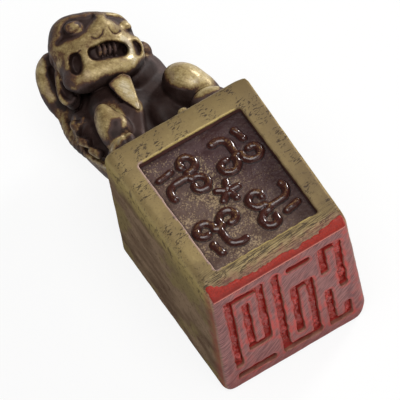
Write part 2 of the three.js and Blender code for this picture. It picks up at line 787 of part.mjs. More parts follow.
// The origin goes to the middle of the footprint, on the surface that the stamp lies on.
const bounds = new THREE.Box3().setFromObject(stamp);
const middle = bounds.getCenter(new THREE.Vector3());
for (const piece of stamp.children) {
  piece.position.set(-middle.x, -middle.y, -bounds.min.z);
}

export default stamp;
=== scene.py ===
"""Seal stamp: a brass block with a let-in plaque and a pasted seal face, and a seated lion for its knob.

Shapes are worked out in millimetres, as signed distances on grids or as heights, and made into meshes.
"""

import math

import bpy
import numpy as np
from mathutils import Matrix, Vector


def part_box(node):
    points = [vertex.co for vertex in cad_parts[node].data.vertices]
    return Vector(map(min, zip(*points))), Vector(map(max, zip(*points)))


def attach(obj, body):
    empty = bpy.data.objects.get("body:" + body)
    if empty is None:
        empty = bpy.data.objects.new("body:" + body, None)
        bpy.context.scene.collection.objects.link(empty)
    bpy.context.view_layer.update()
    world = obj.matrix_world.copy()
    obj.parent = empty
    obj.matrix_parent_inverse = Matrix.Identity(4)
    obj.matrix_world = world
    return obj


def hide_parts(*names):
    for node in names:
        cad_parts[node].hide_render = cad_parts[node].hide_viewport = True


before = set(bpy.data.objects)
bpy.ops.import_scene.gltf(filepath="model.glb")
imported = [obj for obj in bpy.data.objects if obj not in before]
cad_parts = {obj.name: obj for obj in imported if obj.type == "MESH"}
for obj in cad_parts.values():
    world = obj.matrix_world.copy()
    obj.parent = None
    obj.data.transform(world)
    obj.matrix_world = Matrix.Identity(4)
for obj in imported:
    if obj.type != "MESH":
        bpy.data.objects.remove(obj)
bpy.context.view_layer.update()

MM = 0.001
UP, RIGHT, ALONG = 2, 0, 1


def box_mm(node):
    """Lowest and highest corner of a CAD node, in millimetres."""
    low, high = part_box(node)
    return np.array(low) / MM, np.array(high) / MM


BLOCK_LOW, BLOCK_HIGH = box_mm("seal_block")
PLAQUE_LOW, PLAQUE_HIGH = box_mm("panel_plaque")
SEAL_Y, LION_Y = BLOCK_LOW[ALONG], BLOCK_HIGH[ALONG]
FRONT_Z = BLOCK_HIGH[UP]

# Camera, as an orbit round a point of the block, in millimetres and degrees
CAMERA_AIM = (-1.19, -5.90, 12.30)
CAMERA_AZIMUTH = -21.54
CAMERA_ELEVATION = 57.49
CAMERA_ROLL = 11.47
CAMERA_DISTANCE = 1098.1
CAMERA_LENS = 720.0
CAMERA_SENSOR = 36.0

# Light: each lamp's name, direction from the stamp, distance and size in metres, and power
LAMPS = [
    ("lamp_over", (-0.1, -0.25, 1.0), 0.8, 0.8, 6.4),
    ("lamp_front", (0.3, -1.0, 0.35), 0.8, 0.9, 1.5),
    ("lamp_right", (0.87, 0.37, 0.34), 0.6, 0.14, 2.8),
]
WORLD_LIGHT = 0.55
FLOOR_WHITE = 0.85

# Block: how much narrower each side gets toward the seal face
TAPER = 0.276
# Radius of the long edges at the lion and at the seal face: front left, front right, back left, back right
FRONT_EDGES = ((1.5, 1.4), (0.35, 0.7))
BACK_EDGES = ((0.5, 1.3), (0.9, 2.7))
# Rounding round the lion's end and at its right corner, and round the seal face at its sides and back
END_ROUNDING = (0.8, 1.8)
SEAL_ROUNDING = (1.4, 0.5)
# How far the end stands out round the lion's seat
END_STEP = 0.4
# The seal face leans out a little toward the back, and the block widens with it
SEAL_LEAN = 0.45
BACK_FLARE = 0.62
# The right side swells toward the lion
RIGHT_SWELL = 0.3
# The bevel's size along the front and down the seal face, at its left and its right end, and its fillet
BEVEL_RUN = (2.46, 1.66)
BEVEL_DROP = (1.85, 1.4)
BEVEL_FILLET = 0.6
PANEL_CLEARANCE = 0.05
PANEL_CORNER = 0.35
PLAQUE_THICKNESS = 0.65
GROOVE_WIDTH = 1.15
GROOVE_DEPTH = 1.0
GROOVE_CORNER = 0.42
PASTE_GAP = 0.06

# How far the paste in a groove lies under the seal face, and how much higher it is heaped at the left
PASTE_DEPTH = 0.6
PASTE_HEAP = 0.66
# The layer on the bevel: its thickness, how deep it is rooted in the brass, and how far its surface
# drops under the brass where it ends
CRUST_THICKNESS = 0.18
CRUST_ROOT = 0.25
CRUST_DROP = 0.4

# How far before a surface its openness is measured, and how far under it its edges are
OPEN_NEAR = (0.35, 0.8, 1.6)
OPEN_WIDE = (1.6, 3.0, 5.0)
OPEN_BLOCK = (0.4, 0.9)
OPEN_PASTE = (0.3, 0.6)
BULGE_REACH = 0.9
BLOCK_EDGE = 0.6
PASTE_EDGE = 0.35
# The band beside the panel's outline that takes the recess's colour and the rim's painted highlight and shade
RECESS_BAND = 0.3
RIM_WIDTH = 0.2
RIM_HEIGHT = 0.22

# Unevenness of the lion and of the block: the height of the broad and of the fine bumps
LION_RIPPLE = (0.025, 0.012)
BLOCK_DENTS = (0.035, 0.012)

# Where the block's colours change: from the lion's end, and to the right of the middle
DULL_AT_LION = 4.0
DULL_AT_RIGHT = (6.0, 11.0)
# Down from the front: the sides' olive strip, and the bevel's paste at its foot and toward its top
OLIVE_STRIP = (5.5, 2.2)
CRUST_FOOT = (2.3, 1.9)
CRUST_TOP = (1.7, 0.8)
# From the seal face: the scratched lines beside the bevel, and the end of the red film
LINES_BY_BEVEL = (5.2, 2.4)
RED_FILM_END = (1.9, 1.3)

# Grid steps of the meshes
LION_STEP = 0.16
BLOCK_STEP = 0.2
PASTE_STEP = 0.1
PLAQUE_STEP = 0.08


# Distances and noise


# A distance that stands for anything far from a surface
FAR = 9.0


def soft_min(a, b, blend):
    """The smaller of two distances, with a fillet of about the blend's size."""
    share = np.clip(0.5 + 0.5 * (b - a) / blend, 0, 1)
    return b * (1 - share) + a * share - blend * share * (1 - share)


def soft_max(a, b, blend):
    return -soft_min(-a, -b, blend)


def smooth_step(low, high, value):
    share = np.clip((value - low) / (high - low), 0, 1)
    return share * share * (3 - 2 * share)


def turn_about(axis, degrees):
    return np.array(Matrix.Rotation(math.radians(degrees), 3, axis))


def ball_distance(points, middle, sizes, turn):
    """About the distance to a turned ellipsoid."""
    local = (points - np.float32(middle)) @ np.float32(turn)
    sizes = np.float32(sizes)
    near = np.sqrt(((local / sizes) ** 2).sum(-1))
    slope = np.sqrt(((local / sizes**2) ** 2).sum(-1)) + 1e-6
    return near * (near - 1) / slope


def bar_distance(points, a, b, size_a, size_b):
    """Distance to a round bar that tapers from a to b, in two or three dimensions."""
    a, b = np.float32(a), np.float32(b)
    along = b - a
    share = np.clip(((points - a) @ along) / (along @ along), 0, 1)
    off = points - a - share[..., None] * along
    return np.sqrt((off**2).sum(-1)) - (size_a + (size_b - size_a) * share)


NOISE_CELLS = 32
LATTICE = np.random.default_rng(5).uniform(-1, 1, (NOISE_CELLS,) * 3).astype(np.float32)


def blend_corners(part, value_at):
    """The values at the corners of each point's cell, blended by how far across it the point lies."""
    total = np.zeros(part.shape[:-1], np.float32)
    for corner in np.ndindex(2, 2, 2):
        weight = np.ones_like(total)
        for axis in range(3):
            weight *= part[..., axis] if corner[axis] else 1 - part[..., axis]
        total += weight * value_at(corner)
    return total


def noise(points, size, shift=0.0):
    """Smooth random values from -1 to 1 whose bumps have about the given size."""
    scaled = points / size + shift
    cell = np.floor(scaled).astype(int)
    part = (scaled - cell).astype(np.float32)
    part = part * part * (3 - 2 * part)
    return blend_corners(part, lambda c: LATTICE[tuple(np.moveaxis((cell + c) % NOISE_CELLS, -1, 0))])


def rough_noise(points, size, shift=0.0, layers=3):
    """Noise with finer layers, each half the size and half the height of the last."""
    total = np.zeros(points.shape[:-1], np.float32)
    for layer in range(layers):
        total += noise(points, size / 2**layer, shift + 7.3 * layer) / 2**layer
    return total


# Clay: a solid on a grid


class Clay:
    """A solid as signed distances in millimetres on a regular grid."""

    def __init__(self, low, high, step):
        self.low = np.array(low, np.float32)
        self.step = step
        counts = np.ceil((np.array(high) - self.low) / step).astype(int) + 1
        self.axes = [self.low[i] + step * np.arange(counts[i], dtype=np.float32) for i in range(3)]
        self.distance = np.full(counts, FAR, np.float32)

    def points(self, window=(slice(None),) * 3):
        axes = [axis[part] for axis, part in zip(self.axes, window)]
        return np.stack(np.meshgrid(*axes, indexing="ij"), -1)

    def window(self, low, high):
        parts = []
        for axis in range(3):
            count = self.distance.shape[axis]
            first = int((low[axis] - self.low[axis]) / self.step)
            last = int((high[axis] - self.low[axis]) / self.step) + 2
            parts.append(slice(min(max(first, 0), count), min(max(last, 0), count)))
        return tuple(parts)

    def put(self, low, high, distance_of, blend, carve=False):
        """Joins a shape to the solid, or carves it out, inside a box."""
        reach = blend + 1.2
        window = self.window(np.array(low) - reach, np.array(high) + reach)
        if 0 in self.distance[window].shape:
            return
        shape = distance_of(self.points(window))
        old = self.distance[window]
        if carve:
            self.distance[window] = soft_max(old, -shape, blend)
        else:
            self.distance[window] = soft_min(old, shape, blend)

    def sample(self, points):
        """Distances at any points, between the grid's values."""
        scaled = (points - self.low) / self.step
        top = np.array(self.distance.shape) - 2
        cell = np.clip(np.floor(scaled).astype(int), 0, top)
        part = np.clip(scaled - cell, 0, 1).astype(np.float32)
        return blend_corners(part, lambda corner: self.distance[tuple((cell + corner).T)])

    def normals(self, points):
        steps = np.eye(3, dtype=np.float32) * self.step
        slope = np.stack([self.sample(points + s) - self.sample(points - s) for s in steps], -1)
        return slope / (np.linalg.norm(slope, axis=-1, keepdims=True) + 1e-9)

    def surface(self):
        """The solid's surface as points and quads, one point in each grid cell that it crosses."""
        inside = self.distance < 0
        count = np.zeros([n - 1 for n in inside.shape], np.uint8)
        parts = (slice(0, -1), slice(1, None))
        for corner in np.ndindex(2, 2, 2):
            count += inside[tuple(parts[c] for c in corner)]
        crossed = (count > 0) & (count < 8)
        cells = np.argwhere(crossed)
        number = np.full(crossed.shape, -1, np.int32)
        number[crossed] = np.arange(len(cells))
        values = {c: self.distance[tuple((cells + c).T)] for c in np.ndindex(2, 2, 2)}
        total = np.zeros((len(cells), 3), np.float32)
        crossings = np.zeros(len(cells), np.float32)
        for start in np.ndindex(2, 2, 2):
            for axis in range(3):
                if start[axis]:
                    continue
                end = tuple(1 if i == axis else start[i] for i in range(3))
                a, b = values[start], values[end]
                hit = (a < 0) != (b < 0)
                share = np.where(hit, a / np.where(hit, a - b, 1), 0)
                place = np.array(start, np.float32) + share[:, None] * np.eye(3, dtype=np.float32)[axis]
                total += np.where(hit[:, None], place, 0)
                crossings += hit
        points = self.low + self.step * (cells + total / crossings[:, None])
        quads = []
        for axis in range(3):
            b, c = (axis + 1) % 3, (axis + 2) % 3
            near, far = [slice(None)] * 3, [slice(None)] * 3
            near[axis], far[axis] = slice(0, -1), slice(1, None)
            for other in (b, c):
                near[other] = far[other] = slice(1, -1)
            first, second = inside[tuple(near)], inside[tuple(far)]
            for flip, here in ((False, first & ~second), (True, ~first & second)):
                at = np.argwhere(here)
                at[:, b] += 1
                at[:, c] += 1
                ring = []
                for back_b, back_c in ((1, 1), (0, 1), (0, 0), (1, 0)):
                    cell = at.copy()
                    cell[:, b] -= back_b
                    cell[:, c] -= back_c
                    ring.append(number[tuple(cell.T)])
                quads.append(np.stack(ring[::-1] if flip else ring, -1))
        return points, np.concatenate(quads)


def openness(clay, points, normals, reaches):
    """How open the space before each point is, from 0 in a narrow hollow to 1 on a free surface."""
    total = np.zeros(len(points), np.float32)
    for reach in reaches:
        total += np.clip(clay.sample(points + normals * reach) / reach, 0, 1)
    return total / len(reaches)


def sharpness(clay, points, normals, depth):
    """From 0 where the solid under a point is at least the depth thick, to 1 on a sharp edge."""
    return 1 - np.clip(clay.sample(points - normals * depth) / -depth, 0, 1)


def make_piece(name, points, faces, material, node, marks):
    """A mesh object that stands for a CAD node and rides on the one body."""
    mesh = bpy.data.meshes.new(name)
    mesh.vertices.add(len(points))
    mesh.vertices.foreach_set("co", (np.asarray(points, np.float32) * MM).ravel())
    size = faces.shape[1]
    mesh.loops.add(faces.size)
    mesh.loops.foreach_set("vertex_index", faces.astype(np.int32).ravel())
    mesh.polygons.add(len(faces))
    mesh.polygons.foreach_set("loop_start", np.arange(0, faces.size, size, dtype=np.int32))
    mesh.polygons.foreach_set("loop_total", np.full(len(faces), size, np.int32))
    mesh.update(calc_edges=True)
    mesh.shade_smooth()
    for mark, values in marks.items():
        layer = mesh.attributes.new(mark, "FLOAT", "POINT")
        layer.data.foreach_set("value", np.asarray(values, np.float32))
    mesh.materials.append(material)
    piece = bpy.data.objects.new(name, mesh)
    bpy.context.collection.objects.link(piece)
    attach(piece, "root")
    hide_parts(node)


# Shader helpers


def linear(red, green, blue):
    """A colour written as 0 to 255 screen values, as the shader's own linear values."""
    parts = [v / 255 for v in (red, green, blue)]
    return tuple(v / 12.92 if v <= 0.04045 else ((v + 0.055) / 1.055) ** 2.4 for v in parts) + (1.0,)


class Finish:
    """A node material with one Principled shader, and short ways to add nodes to it."""

    def __init__(self, name, metal=0.0):
        self.material = bpy.data.materials.new(name)
        self.material.use_nodes = True
        self.tree = self.material.node_tree
        self.shader = self.tree.nodes["Principled BSDF"]
        self.shader.inputs["Metallic"].default_value = metal
        to_mm = self.node("VectorMath")
        to_mm.operation = "SCALE"
        to_mm.inputs["Scale"].default_value = 1 / MM
        self.link(self.node("TexCoord").outputs["Object"], to_mm.inputs[0])
        self.place = to_mm.outputs[0]
        self.x, self.y, self.z = self.split(self.place)
        facing = self.node("NewGeometry").outputs["Normal"]
        self.facing_x, self.facing_y, self.facing_z = self.split(facing)

    def node(self, kind):
        return self.tree.nodes.new("ShaderNode" + kind)

    def link(self, output, socket):
        self.tree.links.new(output, socket)

    def feed(self, value, socket):
        if isinstance(value, bpy.types.NodeSocket):
            self.link(value, socket)
        else:
            socket.default_value = value

    def split(self, vector):
        node = self.node("SeparateXYZ")
        self.link(vector, node.inputs[0])
        return node.outputs

    def mark(self, name):
        node = self.node("Attribute")
        node.attribute_name = name
        return node.outputs["Fac"]

    def math(self, operation, *values):
        """A sum, product or highest value of any number of values."""
        total = values[0]
        for value in values[1:]:
            node = self.node("Math")
            node.operation = operation
            self.feed(total, node.inputs[0])
            self.feed(value, node.inputs[1])
            total = node.outputs[0]
        return total

    def times(self, *values):
        return self.math("MULTIPLY", *values)

    def plus(self, *values):
        return self.math("ADD", *values)

    def most(self, *values):
        return self.math("MAXIMUM", *values)

    def around(self, value, amount):
        """Noise from 0 to 1, moved to lie round zero, times an amount."""
        return self.times(self.plus(value, -0.5), amount)

    def stretch(self, turn, sizes):
        """The place turned and squeezed, so that noise on it runs in streaks."""
        node = self.node("Mapping")
        node.vector_type = "TEXTURE"
        node.inputs["Rotation"].default_value = [math.radians(v) for v in turn]
        node.inputs["Scale"].default_value = sizes
        self.link(self.place, node.inputs["Vector"])
        return node.outputs[0]

    def noise(self, size, detail=2.0, rough=0.5, place=None, shift=0.0):
        node = self.node("TexNoise")
        node.noise_dimensions = "4D"
        for name, number in (("W", shift), ("Scale", 1 / size), ("Detail", detail), ("Roughness", rough)):
            node.inputs[name].default_value = number
        self.link(place or self.place, node.inputs["Vector"])
        return node.outputs["Fac"]

    def streaks(self, degrees, length, width, shift, low, high):
        """Short strokes in the front's plane that run at an angle."""
        place = self.stretch((0, 0, degrees), (length, width, width))
        return self.between(self.noise(1.0, detail=1.0, place=place, shift=shift), low, high)

    def between(self, value, low, high, start=0.0, end=1.0):
        """A value from low to high, as a smooth value from start to end."""
        node = self.node("MapRange")
        node.interpolation_type = "SMOOTHSTEP"
        self.feed(value, node.inputs["Value"])
        for name, number in (("From Min", low), ("From Max", high), ("To Min", start), ("To Max", end)):
            self.feed(number, node.inputs[name])
        return node.outputs["Result"]

    def mix(self, share, a, b):
        node = self.node("Mix")
        node.data_type = "RGBA"
        for value, socket in zip((share, a, b), (node.inputs[0], node.inputs[6], node.inputs[7])):
            self.feed(value, socket)
        return node.outputs[2]

    def tint(self, colour, tone, value, low, high, amount=1.0):
        """The colour, turned toward a tone as the value goes from low to high, by an amount."""
        share = self.between(value, low, high)
        if amount != 1.0:
            share = self.times(share, amount)
        return self.mix(share, colour, linear(*tone))

    def bump(self, height, strength, depth):
        """Bumps of a real depth in millimetres where the height goes from 0 to 1."""
        node = self.node("Bump")
        node.inputs["Strength"].default_value = strength
        node.inputs["Distance"].default_value = depth * MM
        self.link(height, node.inputs["Height"])
        self.link(node.outputs[0], self.shader.inputs["Normal"])

    def set(self, **values):
        for name, value in values.items():
            self.feed(value, self.shader.inputs[name.replace("_", " ")])


# Materials: each tone is a colour on screen from 0 to 255


def lion_finish():
    """Old cast brass: polished bright where hands reach, a brown patina in the hollows, and painted shade and
    painted highlights carried in the same marks.
    """
    f = Finish("lion_brass")
    grain = f.noise(0.3, detail=4.0, rough=0.65)
    fleck = f.noise(0.6, detail=3.0, rough=0.6, shift=14.0)
    patch = f.noise(2.2, detail=3.0, rough=0.55, shift=3.0)
    wear_and_light = f.mark("wear_and_light")
    rub_and_light = f.plus(wear_and_light, f.around(patch, 0.9), f.around(grain, 0.8), f.around(fleck, 0.8))
    sheltered = f.tint(linear(36, 23, 20), (50, 38, 35), patch, 0.4, 0.65)
    exposed = f.tint(linear(62, 46, 42), (80, 65, 62), patch, 0.4, 0.65)
    lifted = f.times(f.between(f.mark("wide"), 0.4, 0.9), f.between(wear_and_light, -0.5, 0.0))
    colour = f.mix(lifted, sheltered, exposed)
    # Stages of brighter brass; the last, palest one stands for polished brass and also paints highlights
    stages = (
        ((88, 60, 40), 0.12, 0.45),
        ((134, 114, 74), 0.35, 0.68),
        ((174, 154, 108), 0.62, 1.05),
        ((204, 190, 158), 1.0, 1.45),
    )
    for tone, low, high in stages:
        colour = f.tint(colour, tone, rub_and_light, low, high)
    scuffs = f.times(f.streaks(-62, 1.8, 0.3, 5.0, 0.5, 0.62), 0.35)
    colour = f.tint(colour, (110, 88, 56), rub_and_light, 0.45, 0.7, scuffs)
    bruises = f.times(f.between(f.noise(3.2, detail=3.0, shift=22.0), 0.52, 0.66), 0.45)
    colour = f.tint(colour, (132, 110, 100), rub_and_light, 0.5, 0.9, bruises)
    # Patina in the hollows, and painted shade where the lion sits on the block
    hollow = f.between(f.mark("open"), 0.0, 0.5)
    colour = f.mix(hollow, linear(26, 17, 15), colour)
    pits = f.between(f.noise(0.16, detail=2.0, shift=9.0), 0.6, 0.7)
    colour = f.mix(f.times(pits, 0.5), colour, linear(60, 44, 36))
    f.set(Base_Color=colour, Metallic=f.between(rub_and_light, 0.25, 0.75, 0.0, 0.15))
    f.set(Roughness=f.between(rub_and_light, 0.4, 1.4, 0.55, 0.28))
    f.set(Specular_IOR_Level=f.times(hollow, f.between(rub_and_light, 0.1, 0.7, 0.12, 0.24)))
    f.bump(f.plus(f.times(grain, 0.6), f.times(pits, -0.5), f.times(patch, 0.5)), 0.5, 0.07)
    return f.material


def front_brass(f, grain, cloud):
    """The block's front: clouded brass, duller at the right and toward the lion."""
    brass = f.tint(linear(148, 128, 86), (130, 111, 76), cloud, 0.35, 0.7)
    brass = f.tint(brass, (104, 84, 58), grain, 0.5, 0.75, 0.45)
    brass = f.tint(brass, (166, 148, 100), f.noise(0.8, detail=3.0, shift=17.0), 0.55, 0.75, 0.5)
    brass = f.tint(brass, (106, 88, 64), f.x, *DULL_AT_RIGHT, 0.65)
    return f.tint(brass, (108, 90, 58), f.y, LION_Y - DULL_AT_LION, LION_Y, 0.6)


def side_brass(f, cloud):
    """The block's sides: bands of brown, and an olive strip with dark specks beside the front."""
    bands = f.noise(1.0, detail=2.0, place=f.stretch((0, 0, 0), (2.5, 7.0, 2.2)), shift=6.0)
    side = f.tint(linear(142, 120, 98), (108, 88, 72), bands, 0.35, 0.65)
    side = f.tint(side, (134, 118, 84), f.noise(5.0, detail=2.0, shift=27.0), 0.5, 0.62)
    grime = f.noise(0.7, detail=4.0, rough=0.7, shift=37.0)
    side = f.tint(side, (76, 60, 50), grime, 0.5, 0.68, 0.6)
    height = f.plus(f.z, f.around(cloud, 3.0))
    strip = f.between(height, FRONT_Z - OLIVE_STRIP[0], FRONT_Z - OLIVE_STRIP[1])
    specks = f.noise(0.9, detail=4.0, rough=0.7, shift=26.0)
    olive = f.tint(linear(158, 140, 94), (84, 70, 60), specks, 0.5, 0.62, 0.75)
    return f.mix(strip, side, olive)


def scratches(f, front):
    """Where the front is scratched dark: clusters of strokes and blots, pricks, and lines by the bevel."""
    dashes = f.most(f.streaks(3, 0.8, 0.24, 1.0, 0.58, 0.64), f.streaks(24, 0.6, 0.2, 4.0, 0.6, 0.66))
    blots = f.between(f.noise(0.7, detail=4.0, rough=0.75, shift=8.0), 0.58, 0.64)
    clusters = f.between(f.noise(2.1, detail=1.0, shift=12.0), 0.48, 0.57)
    scribble = f.times(f.most(dashes, f.times(blots, 0.8)), clusters, front)
    pricks = f.between(f.noise(0.35, detail=2.0, rough=0.6, shift=33.0), 0.64, 0.72)
    near_bevel = f.between(f.y, SEAL_Y + LINES_BY_BEVEL[0], SEAL_Y + LINES_BY_BEVEL[1])
    lines = f.times(f.streaks(4, 2.2, 0.13, 15.0, 0.49, 0.58), near_bevel, front)
    return f.most(scribble, f.times(pricks, 0.7), lines)


def pasted_face(f, rub):
    """The seal face under its film of old paste: pink, and redder on its lands' edges."""
    land = f.tint(linear(116, 76, 76), (160, 110, 106), rub, 0.38, 0.62)
    left = BLOCK_LOW[RIGHT]
    inside = f.times(f.between(f.x, left + 1.0, left + 2.4), f.between(f.z, 1.0, 2.4))
    edged = f.times(f.mark("edge"), f.between(inside, 0.0, 1.0, 0.15, 1.1))
    smear = f.between(f.noise(2.4, detail=4.0, rough=0.6, shift=24.0), 0.45, 0.75)
    return f.tint(land, (196, 78, 72), f.plus(edged, f.times(smear, 0.55)), 0.15, 1.0)


def rim_light_and_shade(f):
    """The recess's rim: a pinkish painted highlight at its left, a bright painted highlight along the top,
    and painted shade at its right.
    """
    rim_left, rim_right = PLAQUE_LOW[RIGHT], PLAQUE_HIGH[RIGHT]
    rim = f.tint(linear(168, 138, 138), (198, 174, 108), f.x, rim_left + 0.5, rim_left + 1.0)
    return f.tint(rim, (104, 84, 58), f.x, rim_right - 0.9, rim_right - 0.4)


def block_finish():
    """Satin brass with dark scratches, browner at the sides, with a red film near the seal face, painted
    shade in its grooves, and a painted highlight and shade on the recess's rim.
    """
    f = Finish("block_brass")
    grain = f.noise(0.3, detail=4.0, rough=0.6)
    cloud = f.noise(4.5, detail=3.0, shift=2.0)
    front = f.between(f.facing_z, 0.35, 0.9)
    at_face = f.between(f.y, SEAL_Y + RED_FILM_END[0], SEAL_Y + RED_FILM_END[1])
    seal = f.times(f.between(f.facing_y, -0.45, -0.9), at_face)
    colour = f.mix(front, side_brass(f, cloud), front_brass(f, grain, cloud))
    dark = scratches(f, front)
    colour = f.mix(f.times(dark, 0.85), colour, linear(56, 42, 33))
    # The recess's purple-brown walls
    colour = f.tint(colour, (98, 66, 62), f.mark("recess"), 0.6, 0.9)
    # A blush of old paste on the sides near the seal face, and the face itself
    film = f.noise(0.9, detail=4.0, rough=0.6, shift=21.0)
    blush = f.between(f.plus(f.y, f.times(film, -3.0)), SEAL_Y + 1.0, SEAL_Y - 1.4)
    colour = f.tint(colour, (138, 78, 70), seal, 0.5, 0.0, f.times(blush, 0.75))
    rub = f.noise(1.0, detail=2.0, place=f.stretch((0, 50, 0), (0.16, 1.0, 1.8)), shift=30.0)
    colour = f.mix(seal, colour, pasted_face(f, rub))
    # Red in the grooves, and painted shade wherever the surface is deep
    in_groove = f.times(f.between(f.y, SEAL_Y + 0.1, SEAL_Y + 0.3), at_face, f.mark("groove"))
    colour = f.tint(colour, (164, 52, 46), f.z, FRONT_Z - 1.9, FRONT_Z - 2.2, in_groove)
    deep = f.mix(seal, linear(84, 38, 34), linear(120, 42, 38))
    colour = f.mix(f.between(f.mark("open"), 0.0, 0.6), deep, colour)
    # Painted highlight and shade on the recess's rim
    colour = f.mix(f.times(f.mark("rim"), 0.6), colour, rim_light_and_shade(f))
    rough = f.plus(f.between(grain, 0.3, 0.7, 0.38, 0.52), f.times(dark, 0.15), f.times(seal, 0.12))
    f.set(Base_Color=colour, Roughness=rough, Metallic=f.times(front, 0.15))
    sheen = f.times(front, f.between(f.facing_x, 0.45, 0.1), 0.28)
    f.set(Specular_IOR_Level=f.plus(sheen, f.times(seal, 0.2)))
    f.bump(f.plus(f.times(grain, 0.35), f.times(dark, -1.0), f.times(rub, seal, 0.8)), 0.5, 0.06)
    return f.material


def plaque_finish():
    """Dark brown plate: dusty speckled ground, glossy rounded strokes, painted shade beside the strokes and
    walls, and painted highlights on the strokes' crests.
    """
    f = Finish("plaque_brown")
    f.shader.inputs["Specular IOR Level"].default_value = 0.3
    f.shader.inputs["Coat Roughness"].default_value = 0.08
    stroke = f.mark("stroke")
    speckle = f.noise(0.22, detail=3.0, rough=0.65)
    patch = f.noise(3.0, detail=2.0, shift=4.0)
    spread = f.noise(2.2, detail=3.0, rough=0.6, shift=9.0)
    lower_left = f.between(f.plus(f.x, f.y, f.times(spread, 8.0)), -2.0, -16.0)
    # Gold dust in the middle and toward the lower left
    middle = f.times(f.mark("middle"), 0.07)
    dusty = f.plus(speckle, f.times(spread, 0.5), middle, f.times(lower_left, 0.03))
    ground = f.tint(linear(62, 38, 38), (74, 54, 54), patch, 0.4, 0.65)
    ground = f.mix(f.times(lower_left, 0.6), ground, linear(98, 78, 66))
    ground = f.tint(ground, (46, 28, 28), f.x, 2.0, 8.0, 0.6)
    dust = f.times(f.between(f.x, 5.5, -1.5, 0.2, 1.0), 0.85)
    ground = f.tint(ground, (160, 138, 106), dusty, 0.8, 0.96, dust)
    raised = f.tint(linear(50, 22, 18), (74, 38, 30), speckle, 0.4, 0.7)
    # Painted highlight on the strokes' crests
    crest_highlight = f.between(f.plus(stroke, f.around(speckle, 0.9)), 0.95, 1.15)
    raised = f.tint(raised, (150, 120, 76), patch, 0.42, 0.6, f.times(crest_highlight, 0.6))
    colour = f.mix(f.between(stroke, 0.12, 0.35), ground, raised)
    # Painted shade beside the strokes and the recess's walls
    colour = f.mix(f.between(f.mark("open"), 0.1, 0.65), linear(26, 14, 14), colour)
    f.set(Base_Color=colour, Roughness=f.between(stroke, 0.1, 0.5, 0.5, 0.3))
    f.set(Coat_Weight=f.between(stroke, 0.2, 0.5, 0.0, 0.7))
    f.bump(f.plus(f.times(speckle, f.between(stroke, 0.5, 0.3)), f.times(patch, 0.3)), 0.8, 0.1)
    return f.material


def paste_finish():
    """Dried seal paste: bright red and crusty, with painted shade where it lies deep and painted highlights
    on its edges.
    """
    f = Finish("seal_paste")
    crumb = f.noise(0.22, detail=4.0, rough=0.65)
    patch = f.noise(1.4, detail=2.0, shift=5.0)
    on_bevel = f.between(f.z, FRONT_Z - CRUST_FOOT[0], FRONT_Z - CRUST_FOOT[1])
    up_bevel = f.between(f.z, FRONT_Z - CRUST_TOP[0], FRONT_Z - CRUST_TOP[1])
    dried = f.tint(linear(114, 38, 34), (160, 43, 31), f.plus(up_bevel, f.around(patch, 1.6)), 0.0, 1.0)
    red = f.mix(on_bevel, linear(196, 64, 56), dried)
    deeper = f.mix(on_bevel, linear(150, 44, 36), linear(110, 33, 28))
    colour = f.mix(f.between(crumb, 0.35, 0.7), red, deeper)
    colour = f.tint(colour, (132, 46, 42), patch, 0.5, 0.75, 0.6)
    # Painted shade where the paste is less open
    colour = f.mix(f.between(f.mark("open"), 0.0, 0.7), linear(120, 34, 32), colour)
    # Painted highlight on the paste's edges
    edge_highlight = f.between(on_bevel, 0.0, 1.0, 0.3, 0.12)
    colour = f.tint(colour, (216, 96, 82), f.mark("edge"), 0.35, 0.9, edge_highlight)
    thin = f.plus(f.mark("thin"), f.times(crumb, 0.6))
    colour = f.tint(colour, (104, 46, 38), thin, 0.5, 1.1, 0.8)
    # Painted highlight along the bevel's edge at the seal face
    colour = f.mix(f.times(f.mark("ridge_highlight"), 0.8), colour, linear(228, 140, 124))
    f.set(Base_Color=colour, Roughness=f.between(crumb, 0.3, 0.75, 0.25, 0.6))
    f.set(Specular_IOR_Level=f.between(on_bevel, 0.0, 1.0, 0.5, 0.15))
    f.bump(f.plus(crumb, f.times(patch, 0.5)), 0.6, 0.1)
    return f.material


def dowel_finish():
    """Turned brass with fine rings."""
    f = Finish("dowel_brass", metal=0.8)
    rings = f.noise(1.0, detail=1.0, place=f.stretch((0, 0, 0), (3.0, 0.12, 3.0)))
    f.set(Base_Color=f.mix(rings, linear(150, 128, 80), linear(182, 158, 104)))
    f.set(Roughness=f.between(rings, 0.3, 0.7, 0.25, 0.45))
    f.bump(rings, 0.3, 0.02)
    return f.material


# The lion


def line_of_sight():
    """The direction from the camera to the block."""
    azimuth, elevation = math.radians(CAMERA_AZIMUTH), math.radians(CAMERA_ELEVATION)
    level = math.cos(elevation)
    return (-math.sin(azimuth) * level, math.cos(azimuth) * level, -math.sin(elevation))


class Place:
    """A frame for sculpting: its middle in the part's frame and its axes as columns."""

    def __init__(self, middle, turn):
        self.middle = np.array(middle, np.float32)
        self.turn = np.array(turn, np.float32)
        sight = np.array(line_of_sight()) @ self.turn
        self.lean = np.float32(sight[:2] / sight[2])

    def at(self, point):
        return self.middle + self.turn @ np.float32(point)

    def local(self, points):
        return (points - self.middle) @ self.turn

    def seen(self, points, height):
        """Where the points lie in the plane at the given height, as the photograph shows them."""
        local = self.local(points)
        return local[..., :2] + (height - local[..., 2:]) * self.lean, local[..., 2]


BLOCK_MIDDLE_Z = FRONT_Z / 2
BODY = Place((0, LION_Y, BLOCK_MIDDLE_Z), np.eye(3))
BACK = Place((0, LION_Y, BLOCK_MIDDLE_Z), turn_about("Y", 180))
HEAD_MIDDLE = (-1.6, 21.0, 4.6)
HEAD_TURN = turn_about("Y", 14) @ turn_about("X", 17) @ turn_about("Z", -17)
HEAD = Place(BODY.at(HEAD_MIDDLE), HEAD_TURN)
# Half the size of the head's own grid
HEAD_REACH = 9.5


